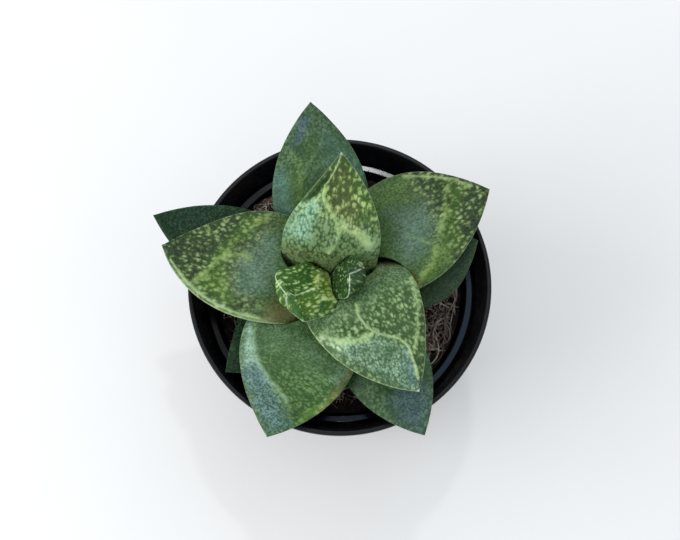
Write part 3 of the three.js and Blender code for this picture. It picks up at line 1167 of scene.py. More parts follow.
    def build(self, younger: bpy.types.Object) -> bpy.types.Object:
        """Build the leaf, hollow it for the younger ones, and store its marks.

        Args:
            younger: The seats of the stem and all younger leaves as one mesh.

        Returns:
            The leaf's object, not yet dressed.
        """
        s = 1 - (1 - np.arange(self.rows) / self.rows) ** ROW_CROWDING
        face = np.pi * np.arange(self.face_columns) / self.face_columns
        keel = np.pi * (1 + np.arange(self.keel_columns) / self.keel_columns)
        angles = np.concatenate((face, keel))
        skin = self.skin(s, angles, 0.0, 0.0)
        round_ring = np.roll(skin, -1, 1) - np.roll(skin, 1, 1)
        normals = unit(np.cross(round_ring, np.gradient(skin, axis=0)))

        c = np.cos(angles)
        side, course = np.broadcast_to(c, skin.shape[:2]).ravel(), np.repeat(s, len(angles))
        back = np.broadcast_to(angles > np.pi, skin.shape[:2]).ravel()
        places = self.flat(course, side)
        inset = self.to_margin(skin).ravel()
        near_tip = self.flat(np.array((1.0,)), np.array((0.0,)))[0, 1] - places[:, 1]
        room = ease(np.minimum(inset, near_tip * 0.5), *RELIEF_START)

        layers = self.relief(places, room, back) | self.tones(places, course, back)
        points = skin.reshape(-1, 3)
        wave = 0
        for i, (length, size) in enumerate(WAVES):
            wave = wave + Ripple(self.seed + i, length).at(points) * size
        bead = BEAD_HEIGHT * np.exp(-((inset / BEAD_REACH) ** 2)) * ease(near_tip, *BEAD_START)
        wave = wave * (0.2 + 0.8 * room) * ease(near_tip, *TIP_CALM)
        height = layers.pop("height") + wave + bead
        points = points + height[:, None] * normals.reshape(-1, 3)
        leaf = loft(self.name + "_skin", points.reshape(skin.shape), self.ends(0.0))

        rim_end = by_side(side, self.rim_to)
        rim_share = ease(course, *RIM_START) * ease(course, rim_end, rim_end - RIM_FADE)
        layers["rim"] = self.rim * rim_share
        layers["rim_far"] = inset / by_side(side, self.rim_width)
        layers["nib"] = self.nib * ease(near_tip, *NIB_FADE)
        for key, values in layers.items():
            write_mark(leaf, key, np.concatenate((values, (values[-1], values[0]))))
        sunk = np.where(back, -self.belly, self.crown) * (1 - side * side)
        local = np.stack((places[:, 0] + PLACE_SHIFT * self.seed, places[:, 1], sunk), -1)
        write_place(leaf, "skin_place", np.vstack((local, local[-1:], local[:1])))

        carve(leaf, younger)
        keep_largest(leaf)
        smooth_but(leaf, LEAF_CREASE)
        return leaf


@dataclass
class Rosette:
    """All the leaves, youngest first, on their short stump.

    The stump is as thick as stem radius from shoulder[0] below the soil's top to shoulder[1] below
    its own, and waist is its share of that halfway down the root. Bark is the height of its
    ridges in millimetres, and bark length and stretch give their size and form.
    """

    leaves: tuple[Leaf, ...]
    stem_radius: float = 6.0
    stem_top: float = 83.7
    stem_top_radius: float = 4.0
    stem_sides: int = 72
    stem_rings: int = 70
    root_tip: float = 54.0
    root_tip_radius: float = 1.5
    soil_top: float = 73.0
    shoulder: Spot = (2.0, 5.0)
    waist: float = 0.7
    bark: float = 0.12
    bark_seed: int = 31
    bark_length: float = 2.4
    bark_stretch: Point = (0.4, 0.4, 1.6)
    leaf_room: float = 0.2
    crease: float = 60.0

    def stump(self, name: str, grow: float, rough: float) -> bpy.types.Object:
        """Build the stump.

        Args:
            name: Name of the object.
            grow: How much larger it is all round.
            rough: Height of its bark in millimetres.

        Returns:
            The stump as a closed mesh.
        """
        knots = np.array(
            (
                (self.root_tip - grow, self.root_tip_radius),
                ((self.root_tip + self.soil_top) / 2, self.stem_radius * self.waist),
                (self.soil_top - self.shoulder[0], self.stem_radius),
                (self.stem_top - self.shoulder[1], self.stem_radius),
                (self.stem_top + grow, self.stem_top_radius),
            )
        )
        levels = np.linspace(knots[0, 0], knots[-1, 0], self.stem_rings)
        radii = np.interp(levels, knots[:, 0], knots[:, 1]) + grow
        ring = spokes(self.stem_sides)
        skin = ring[None] * radii[:, None, None] + levels[:, None, None] * UP
        ridges = Ripple(self.bark_seed, self.bark_length).at(skin * self.bark_stretch) - 1
        skin = skin + (rough * ridges)[..., None] * ring[None]
        return loft(name, skin, np.array(((0, 0, knots[-1, 0]), (0, 0, knots[0, 0]))))

    def build(self) -> None:
        """Build, hollow and dress the stump and every leaf."""
        stump = self.stump("stem_stump", 0.0, self.bark)
        smooth_but(stump, self.crease)
        dress(stump, StemFinish().material("corky_stem"), "stem", "stem")
        younger = self.stump("younger_seats", self.leaf_room, 0.0)
        for leaf in self.leaves:
            made = leaf.build(younger)
            spend(younger, leaf.seat(), "UNION")
            dress(made, leaf.finish.material(leaf.name + "_finish"), leaf.slot, leaf.name)
        discard(younger)


# ---- pot ------------------------------------------------------------------------------------


@dataclass
class NurseryPot:
    """Round moulded pot: tapered wall, wider collar with a lip, stacking ledge and drain holes.

    Sizes are in millimetres. Run is the longest step of the mesh along a straight part of the
    section, and edge gap is how close to a corner the steps come.
    """

    height: float = 88.0
    rim_radius: float = 52.0
    lip_width: float = 1.5
    lip_depth: float = 2.2
    lip_step: float = 0.9
    collar_height: float = 12.0
    collar_foot_radius: float = 48.6
    ledge_drop: float = 10.0
    ledge_outer: float = 46.4
    ledge_inner: float = 44.0
    wall: float = 1.3
    floor_radius: float = 36.5
    floor_thickness: float = 2.0
    foot_ring_width: float = 5.0
    centre_disc_radius: float = 12.0
    channel_height: float = 1.5
    drain_count: int = 6
    drain_radius: float = 4.0
    drain_circle: float = 22.0
    notch_width: float = 8.0
    sides: int = 240
    arc_steps: int = 4
    drain_sides: int = 40
    run: float = 4.0
    edge_gap: float = 0.06
    shortest_run: float = 0.5
    crease: float = 32.0

    @property
    def inner_floor(self) -> float:
        """Give the height of the floor's upper side."""
        return self.floor_thickness + self.channel_height

    def wall_inside(self, z: float) -> float:
        """Give the inside radius of the tapered wall at a height."""
        foot = self.floor_radius - self.wall
        share = (z - self.floor_thickness) / (self.height - self.ledge_drop - self.floor_thickness)
        return foot + (self.ledge_inner - foot) * share

    def outline(self) -> list[tuple[float, float, float]]:
        """List the section's corners as radius, height and how far each is rounded."""
        collar = self.height - self.collar_height
        ledge = self.height - self.ledge_drop
        ring = self.floor_radius - self.foot_ring_width
        channel = self.channel_height
        floor = self.inner_floor
        lip = self.height - self.lip_depth
        return [
            (self.centre_disc_radius, 0, 0.25),
            (self.centre_disc_radius + channel, channel, 0.25),
            (ring - channel, channel, 0.25),
            (ring, 0, 0.25),
            (self.floor_radius - 0.5, 0, 0.3),
            (self.floor_radius + 0.1, 1.0, 0.4),
            (self.wall_inside(collar) + self.wall, collar, 0.3),
            (self.collar_foot_radius, collar, 0.35),
            (self.rim_radius - self.lip_step, lip, 0.3),
            (self.rim_radius, lip, 0.25),
            (self.rim_radius, self.height, 0.6),
            (self.rim_radius - self.lip_width, self.height, 0.35),
            (self.ledge_outer, ledge, 0.35),
            (self.ledge_inner, ledge, 0.4),
            (self.wall_inside(floor + 1), floor + 1, 0.8),
            (self.wall_inside(0) - 1, floor, 0.5),
        ]

    def profile(self) -> np.ndarray:
        """Round the section's corners and give its points, from the middle of the underside."""
        corners = [(0.0, 0.0, 0.0), *self.outline(), (0.0, self.inner_floor, 0.0)]
        points = []
        for before, here, after in zip(corners[:-2], corners[1:-1], corners[2:]):
            p = np.array(here[:2], float)
            start = np.array(before[:2], float) - p
            end = np.array(after[:2], float) - p
            cut = min(here[2], np.linalg.norm(start) * 0.45, np.linalg.norm(end) * 0.45)
            a, b = p + unit(start) * cut, p + unit(end) * cut
            for t in np.linspace(0, 1, self.arc_steps + 1):
                points.append((1 - t) ** 2 * a + 2 * t * (1 - t) * p + t**2 * b)
        return self.filled(np.array(points))

    def filled(self, points: np.ndarray) -> np.ndarray:
        """Add points along the straight runs, and close to their ends, so that flats shade flat."""
        full = [points[0]]
        for a, b in zip(points[:-1], points[1:]):
            length = np.linalg.norm(b - a)
            shares = np.linspace(0, 1, max(1, int(length / self.run)) + 1)
            if length > self.shortest_run:
                near = self.edge_gap / length
                shares = np.union1d(shares, (near, 1 - near))
            full.extend(a + (b - a) * t for t in shares[1:])
        return np.array(full)

    def shell(self) -> bpy.types.Object:
        """Turn the section about the upright into a closed mesh."""
        radii, levels = self.profile().T[..., None, None]
        skin = spokes(self.sides)[None] * radii + levels * UP
        shell = loft("pot_shell", skin, np.array(((0, 0, self.inner_floor), (0, 0, 0))))
        heights = np.append(skin[..., 2], (self.inner_floor, 0.0))
        write_mark(shell, "worn", ease(heights, self.height - 1.0, self.height - 0.2))
        return shell

    def drill(self, shell: bpy.types.Object) -> None:
        """Cut the drain holes and the gaps in the foot ring."""
        for i in range(self.drain_count):
            angle = 2 * math.pi * i / self.drain_count
            spend(shell, self.rod(angle))
            spend(shell, self.gap(angle + math.pi / self.drain_count))

    def rod(self, angle: float) -> bpy.types.Object:
        """Make the round cutter of the drain hole that lies in the direction of an angle."""
        middle = self.drain_circle * np.array((math.cos(angle), math.sin(angle), 0.0))
        ring = middle + self.drain_radius * spokes(self.drain_sides)
        low, high = -UP, (self.inner_floor + 1.0) * UP
        return loft("drain_cutter", np.stack((ring + low, ring + high)), middle + (high, low))

    def gap(self, angle: float) -> bpy.types.Object:
        """Make the cutter of the foot ring's gap that lies in the direction of an angle."""
        half_x, half_y = self.foot_ring_width, self.notch_width / 2
        ring = np.array(((1, -1), (1, 1), (-1, 1), (-1, -1))) * (half_x, half_y)
        ring[:, 0] += self.floor_radius
        c, s = math.cos(angle), math.sin(angle)
        flat = np.pad(ring @ np.array(((c, s), (-s, c))), ((0, 0), (0, 1)))
        rise = self.channel_height * UP
        ends = flat.mean(0) + (rise, -rise)
        return loft("gap_cutter", np.stack((flat - rise, flat + rise)), ends)

    def build(self) -> None:
        """Build and dress the pot."""
        shell = self.shell()
        self.drill(shell)
        smooth_but(shell, self.crease)
        dress(shell, PlasticFinish().material("black_plastic"), "pot", "pot")


# ---- soil -----------------------------------------------------------------------------------


@dataclass
class PottingSoil:
    """The soil that fills the pot, its loose crumbs, and the coir fibres that lie on it.

    The mound is a small heap of fibrous soil: its place, its radius and its height. Fibres lie
    thickest about the matted side, an angle and how far it reaches either way, and bare share is
    how many of the others stay. Heaped share is how many start at the mound. Both starts are
    measured from the middle, and crumb gap from the edge. Creases are in degrees and other sizes
    in millimetres, and a pair is the least and the most, or the least and what is added to it.
    """

    pot: NurseryPot
    stem: Rosette
    top: float = 73.0
    roughness: float = 1.1
    clearance: float = 0.35
    rings: int = 84
    sides: int = 220
    crumb_count: int = 900
    fibre_count: int = 1100
    mound: tuple[float, float, float, float] = (-28.5, 30.0, 8.5, 5.5)
    matted_side: tuple[float, float] = (-0.35, 0.9)
    bare_share: float = 0.18
    heaped_share: float = 0.2
    ruddy_share: float = 0.06
    fibre_sides: int = 5
    fibre_steps: int = 14
    fibre_length: tuple[float, float] = (5.0, 16.0)
    fibre_radius: tuple[float, float] = (0.11, 0.24)
    fibre_lift: float = 2.6
    fibre_bend: tuple[float, float] = (0.3, 1.4)
    fibre_sway: tuple[float, float] = (0.15, 1.0)
    crumb_size: tuple[float, float] = (0.45, 1.0)
    crumb_form: tuple[float, float, float] = (1.25, 0.95, 0.7)
    crumb_dent: float = 0.28
    grain_height: float = 0.75
    crumb_start: float = 9.0
    crumb_gap: float = 3.0
    fibre_start: float = 12.0
    stem_room: float = 0.3
    levels: int = 12
    bed_crease: float = 50.0
    crumb_crease: float = 45.0
    fibre_crease: float = 100.0
    seed: int = 11

    def height_at(self, x: float, y: float) -> float:
        """Give the height of the soil's broad waves."""
        coarse = math.sin(x * 0.31 + 1.3) * math.cos(y * 0.27 - 0.6)
        fine = math.sin(x * 0.83 + y * 0.41) * math.cos(y * 0.97 - x * 0.35 + 2)
        away = math.hypot(x - self.mound[0], y - self.mound[1]) / self.mound[2]
        heap = self.mound[3] * math.exp(-away * away)
        return self.top + self.roughness * (0.6 * coarse + 0.5 * fine) + heap

    def rough_height(self, x: float, y: float) -> float:
        """Give the height with the crumbly grain on it."""
        place = Vector((x * 0.42, y * 0.42, 3.0))
        grain = noise.fractal(place, 0.7, 2.1, 4)
        return self.height_at(x, y) + self.grain_height * grain - 0.2

    def edge(self) -> float:
        """Give the radius of the soil's top edge."""
        return self.pot.wall_inside(self.top - 2) - self.clearance - 0.1

    def bed(self) -> bpy.types.Object:
        """Build the plug of soil with a rough top."""
        floor = self.pot.inner_floor + self.clearance
        angles = turns(self.sides)
        points = []
        levels = [(self.pot.wall_inside(floor) - 2, floor)]
        for z in np.linspace(floor + 2, self.top - 3, self.levels):
            levels.append((self.pot.wall_inside(z) - self.clearance, z))
        for radius, z in levels:
            points += [(radius * math.cos(a), radius * math.sin(a), z) for a in angles]
        for i in range(self.rings):
            radius = self.edge() * (1 - i / self.rings)
            for a in angles:
                x, y = radius * math.cos(a), radius * math.sin(a)
                points.append((x, y, self.rough_height(x, y)))
        points += [(0, 0, self.rough_height(0, 0)), (0, 0, floor)]
        rings = len(levels) + self.rings
        made = piece_from("soil_bed", np.array(points), loft_faces(rings, self.sides))
        spend(made, self.stem.stump("stem_hole", self.stem_room, 0.0))
        keep_largest(made)
        smooth_but(made, self.bed_crease)
        return made

    def crumbs(self, draw: np.random.Generator) -> bpy.types.Object:
        """Build the loose crumbs, each a dented lump part sunk in the soil."""
        ball = bmesh.new()
        bmesh.ops.create_icosphere(ball, subdivisions=2, radius=1.0)
        sphere = np.array([v.co for v in ball.verts])
        faces = np.array([[v.index for v in f.verts] for f in ball.faces])
        ball.free()
        points, triangles = [], []
        for n in range(self.crumb_count):
            spread = self.edge() - self.crumb_gap - self.crumb_start
            reach = self.crumb_start + spread * math.sqrt(draw.random())
            around = draw.uniform(0, 2 * math.pi)
            x, y = reach * math.cos(around), reach * math.sin(around)
            size = self.crumb_size[0] + self.crumb_size[1] * draw.random() ** 2.2
            dents = 1 + self.crumb_dent * Ripple(1000 + n, 1.5, 5).at(sphere)
            spin = np.array(Matrix.Rotation(draw.uniform(0, 6.28), 3, Vector(draw.normal(size=3))))
            lump = (sphere * dents[:, None] * self.crumb_form) @ spin.T * size
            triangles.append(faces + len(points) * len(sphere))
            points.append(lump + (x, y, self.rough_height(x, y) + 0.15 * size))
        made = piece_from("soil_crumbs", np.vstack(points), np.vstack(triangles).tolist())
        smooth_but(made, self.crumb_crease)
        return made

    def fibre(self, draw: np.random.Generator) -> np.ndarray | None:
        """Draw one fibre's centreline, or nothing if it falls on a bare part or leaves the pot."""
        spread = self.edge() - self.fibre_start
        reach = self.fibre_start + spread * math.sqrt(draw.random())
        around = draw.uniform(0, 2 * math.pi)
        turned = math.remainder(around - self.matted_side[0], 2 * math.pi)
        if abs(turned) > self.matted_side[1] and draw.random() > self.bare_share:
            return None
        start = np.array((reach * math.cos(around), reach * math.sin(around)))
        length = draw.uniform(*self.fibre_length)
        if draw.random() < self.heaped_share:
            start = np.array(self.mound[:2]) + draw.normal(0, 0.45, 2) * self.mound[2]
            length *= 0.5
        heading = draw.uniform(0, 2 * math.pi)
        loose = draw.random() ** 1.5
        bend = draw.normal(0, self.fibre_bend[0] + self.fibre_bend[1] * loose) / length
        sway = self.fibre_sway[0] + self.fibre_sway[1] * loose
        phase = draw.uniform(0, 6.28)
        step = length / self.fibre_steps
        rest = draw.random() ** 1.3 * self.fibre_lift
        line = []
        place = start.copy()
        for i in range(self.fibre_steps + 1):
            t = i / self.fibre_steps
            angle = heading + bend * length * t + sway * math.sin(3.5 * t + phase)
            place = place + step * np.array((math.cos(angle), math.sin(angle)))
            if np.hypot(*place) > self.edge() - 0.3:
                return None
            lift = rest * math.sin(math.pi * t) ** 0.7 - 0.25
            line.append((place[0], place[1], self.height_at(*place) + lift + 0.35))
        return np.array(line)

    def tube(self, line: np.ndarray, thick: np.ndarray) -> np.ndarray:
        """Give the points of a thin tube round a line, with the two end points last."""
        along = unit(np.gradient(line, axis=0))
        side = unit(np.cross(along, UP))
        rise = np.cross(side, along)
        x, y, _ = spokes(self.fibre_sides).T[:, None, :, None]
        skin = line[:, None] + (x * side[:, None] + y * rise[:, None]) * thick[:, None, None]
        tip, foot = line[-1] + along[-1] * 0.1, line[0] - along[0] * 0.1
        return np.vstack((skin.reshape(-1, 3), tip, foot))

    def fibres(self, draw: np.random.Generator) -> bpy.types.Object:
        """Build the mat of coir fibres as one mesh of thin tubes."""
        points, faces, tones, reds = [], [], [], []
        total = 0
        while len(points) < self.fibre_count:
            line = self.fibre(draw)
            if line is None:
                continue
            radius = self.fibre_radius[0] + self.fibre_radius[1] * draw.random() ** 1.6
            skin = self.tube(line, radius * (1 - 0.6 * np.linspace(-1, 1, len(line)) ** 4))
            faces += loft_faces(len(line), self.fibre_sides, total)
            points.append(skin)
            tones.append(np.full(len(skin), draw.random()))
            reds.append(np.full(len(skin), 0.8 * (draw.random() > 1 - self.ruddy_share)))
            total += len(skin)
        made = piece_from("coir_fibres", np.vstack(points), faces)
        write_mark(made, "tone", np.concatenate(tones))
        write_mark(made, "ruddy", np.concatenate(reds))
        smooth_but(made, self.fibre_crease)
        return made

    def build(self) -> None:
        """Build and dress the soil, its crumbs and its fibres."""
        draw = np.random.default_rng(self.seed)
        earth = EarthFinish().material("dark_soil")
        dress(self.bed(), earth, "soil", "soil")
        dress(self.crumbs(draw), earth, "soil")
        dress(self.fibres(draw), FibreFinish().material("dry_coir"), "soil")


# ---- studio ---------------------------------------------------------------------------------


@dataclass(frozen=True)
class SoftBox:
    """A flat lamp that faces the plant.

    Place and size, which is its width and height, are in millimetres. Radiance is how bright its
    face is, where 1 is white paper in full light, and colour is its tint in linear light.
    """

    name: str
    place: Point
    size: Spot
    radiance: float
    colour: Point = (1.0, 1.0, 1.0)


@dataclass
class Studio:
    """Plain pale floor, soft light from above and from the left, and the camera."""

    image_width: int = 680
    image_height: int = 540
    view_elevation: float = 77.3
    view_distance: float = 450.0
    focal_pixels: float = 1314.5
    aim: Point = (0.0, 0.0, 88.0)
    aim_pixel: Spot = (339.7, 283.4)
    sensor: float = 36.0
    floor_half: float = 12000.0
    room_colour: Point = (0.98, 0.99, 1.0)
    room_light: float = 0.8
    lamps: tuple[SoftBox, ...] = (
        SoftBox("left_soft_box", (-640, -120, 540), (560, 560), 2.9),
        SoftBox("back_panel", (60, 540, 860), (700, 330), 0.8, (0.8, 0.9, 1.0)),
        SoftBox("window", (40, 329, 976), (44, 34), 150.0),
        SoftBox("blue_panel", (125, 150, 976), (90, 300), 2.2, (0.14, 0.5, 1.0)),
    )

    def floor(self) -> None:
        """Lay the floor that the pot stands on."""
        h = self.floor_half
        corners = np.array(((-h, -h, 0), (h, -h, 0), (h, h, 0), (-h, h, 0)), float)
        made = piece_from("studio_floor", corners, [[0, 1, 2, 3]])
        made.data.materials.append(FloorFinish().material("studio_paper"))

    def hang(self, lamp: SoftBox) -> None:
        """Hang one soft box, facing the plant."""
        data = bpy.data.lights.new(lamp.name, "AREA")
        data.shape = "RECTANGLE"
        data.size, data.size_y = lamp.size[0] * MM, lamp.size[1] * MM
        data.energy = lamp.radiance * math.pi * data.size * data.size_y
        data.color = lamp.colour
        made = bpy.data.objects.new(lamp.name, data)
        made.location = Vector(lamp.place) * MM
        gaze = Vector(self.aim) * MM - made.location
        made.rotation_euler = gaze.to_track_quat("-Z", "Y").to_euler()
        bpy.context.scene.collection.objects.link(made)

    def sky(self) -> None:
        """Fill the room with even light."""
        world = bpy.data.worlds.new("studio_room")
        world.use_nodes = True
        ground = world.node_tree.nodes["Background"]
        ground.inputs["Color"].default_value = (*self.room_colour, 1.0)
        ground.inputs["Strength"].default_value = self.room_light
        bpy.context.scene.world = world

    def camera(self) -> None:
        """Set the camera above the plant, leaning back a little."""
        lean = math.radians(self.view_elevation)
        up = Vector((0, math.sin(lean), math.cos(lean)))
        back = Vector((0, -math.cos(lean), math.sin(lean)))
        right = (self.image_width / 2 - self.aim_pixel[0]) / self.focal_pixels
        rise = (self.aim_pixel[1] - self.image_height / 2) / self.focal_pixels
        gaze = Vector((right, 0, 0)) + rise * up - back
        data = bpy.data.cameras.new("camera")
        data.sensor_width = self.sensor
        data.lens = self.focal_pixels * self.sensor / self.image_width
        data.clip_start, data.clip_end = 0.01, 20.0
        made = bpy.data.objects.new("camera", data)
        made.location = (Vector(self.aim) + self.view_distance * back) * MM
        made.rotation_euler = gaze.to_track_quat("-Z", "Y").to_euler()
        bpy.context.scene.collection.objects.link(made)
        bpy.context.scene.camera = made

    def build(self) -> None:
        """Set up floor, light and camera."""
        self.floor()
        self.sky()
        for lamp in self.lamps:
            self.hang(lamp)
        self.camera()
        bpy.context.scene.view_settings.view_transform = "Standard"
        log.info("studio: floor, %d lamps and camera", len(self.lamps))


# ---- the plant's own shapes and marks -------------------------------------------------------

# In these finishes the bloom pairs are blue-grey bloom with painted sheen, the blue pairs are
# painted sky reflection, and the cream pairs are a pale tone with painted highlight.
HEART = LeafFinish(
    deep=("2c5010", "b4cc8c"), sage=("365a14", "a4c07a"), warm=("4c6a16", "c0d084"), rim="b4cba6",
    moss="487a16", seam="b4ce8c", light=0.9, cell=1.4, stretch=(1.0, 0.55), fade=0.2,
)
INNER = LeafFinish(
    deep=("1e3c12", "a4bc8c"), sage=("204010", "a4bc8c"), rim="b8cead", moss="2e5a12",
    shade="18301e", light=0.95, cell=1.3, stretch=(1.0, 0.6), fade=0.2,
)
UPRIGHT = LeafFinish(
    deep=("30501c", "b0c880"), olive=("3e4c2a", "b2c280"), bloom_and_sheen=("4c7e5a", "a0cdb0"),
    sage=("3a5430", "7e9e6c"), warm=("587036", "c0d094"), cream_highlight=("789b70", "c4dcb8"),
    seam="acca86", moss="507226", shade="2a4420", light=1.05, hush=0.1, fade=0.25,
)
BROAD = LeafFinish(
    deep=("2e481e", "a0bc8a"), sage=("466240", "80a074"), bloom_and_sheen=("3c5c44", "98ba9a"),
    blue=("42605a", "7e9e92"), warm=("486428", "b4ca90"), cream_highlight=("5c7c54", "c4dcba"),
    moss="4a6e2e", cell=1.4, hush=0.25, fade=0.35, fall=0.46,
)
GROWN = LeafFinish(
    deep=("1e321a", "a6ba84"), sage=("344e26", "6a8858"), bloom_and_sheen=("466250", "7a9680"),
    warm=("40601f", "8ea866"), cream_highlight=("688a54", "b8d2a4"), seam="86a25c", rim="a8be94",
    moss="3e5e1c", light=1.05, cell=1.55, hush=0.6, fall=0.54, gloss=0.26,
)
MOTTLED = LeafFinish(
    deep=("344f2c", "6c8e5a"), sage=("3c5a34", "688860"), bloom_and_sheen=("5e8468", "a2c2ae"),
    blue=("38544e", "6e8e86"), warm=("5e8236", "a2c474"), seam="8cac7c", rim="7c936c",
    moss="466c2c", cell=1.05, stretch=(0.7, 1.0), hush=0.3, fade=0.5, ragged=1.7,
)
OLD = LeafFinish(
    deep=("2c462a", "607b5a"), sage=("223e28", "4c6c4a"), bloom_and_sheen=("36584c", "5e8672"),
    blue=("364a58", "5a746e"), warm=("3c5c22", "6e8a4a"), seam="6a866a", rim="5e7256",
    moss="385c2c", shade="2c3c36", cell=0.9, stretch=(0.8, 0.8), hush=0.4, fade=0.6, ragged=1.6,
)
SHADED = LeafFinish(
    deep=("1a3022", "3a5640"), sage=("1a3022", "3a5640"), rim="4b5e49", moss="20381c", cell=1.4,
    roughness=0.48, hush=0.3, gloss=0.15,
)
SUNK = LeafFinish(
    deep=("182a18", "344a34"), sage=("182a18", "344a34"), warm=("303c1c", "485830"), rim="43523a",
    moss="243618", light=0.65, sheen=0.008, cell=1.2, hush=0.4,
)

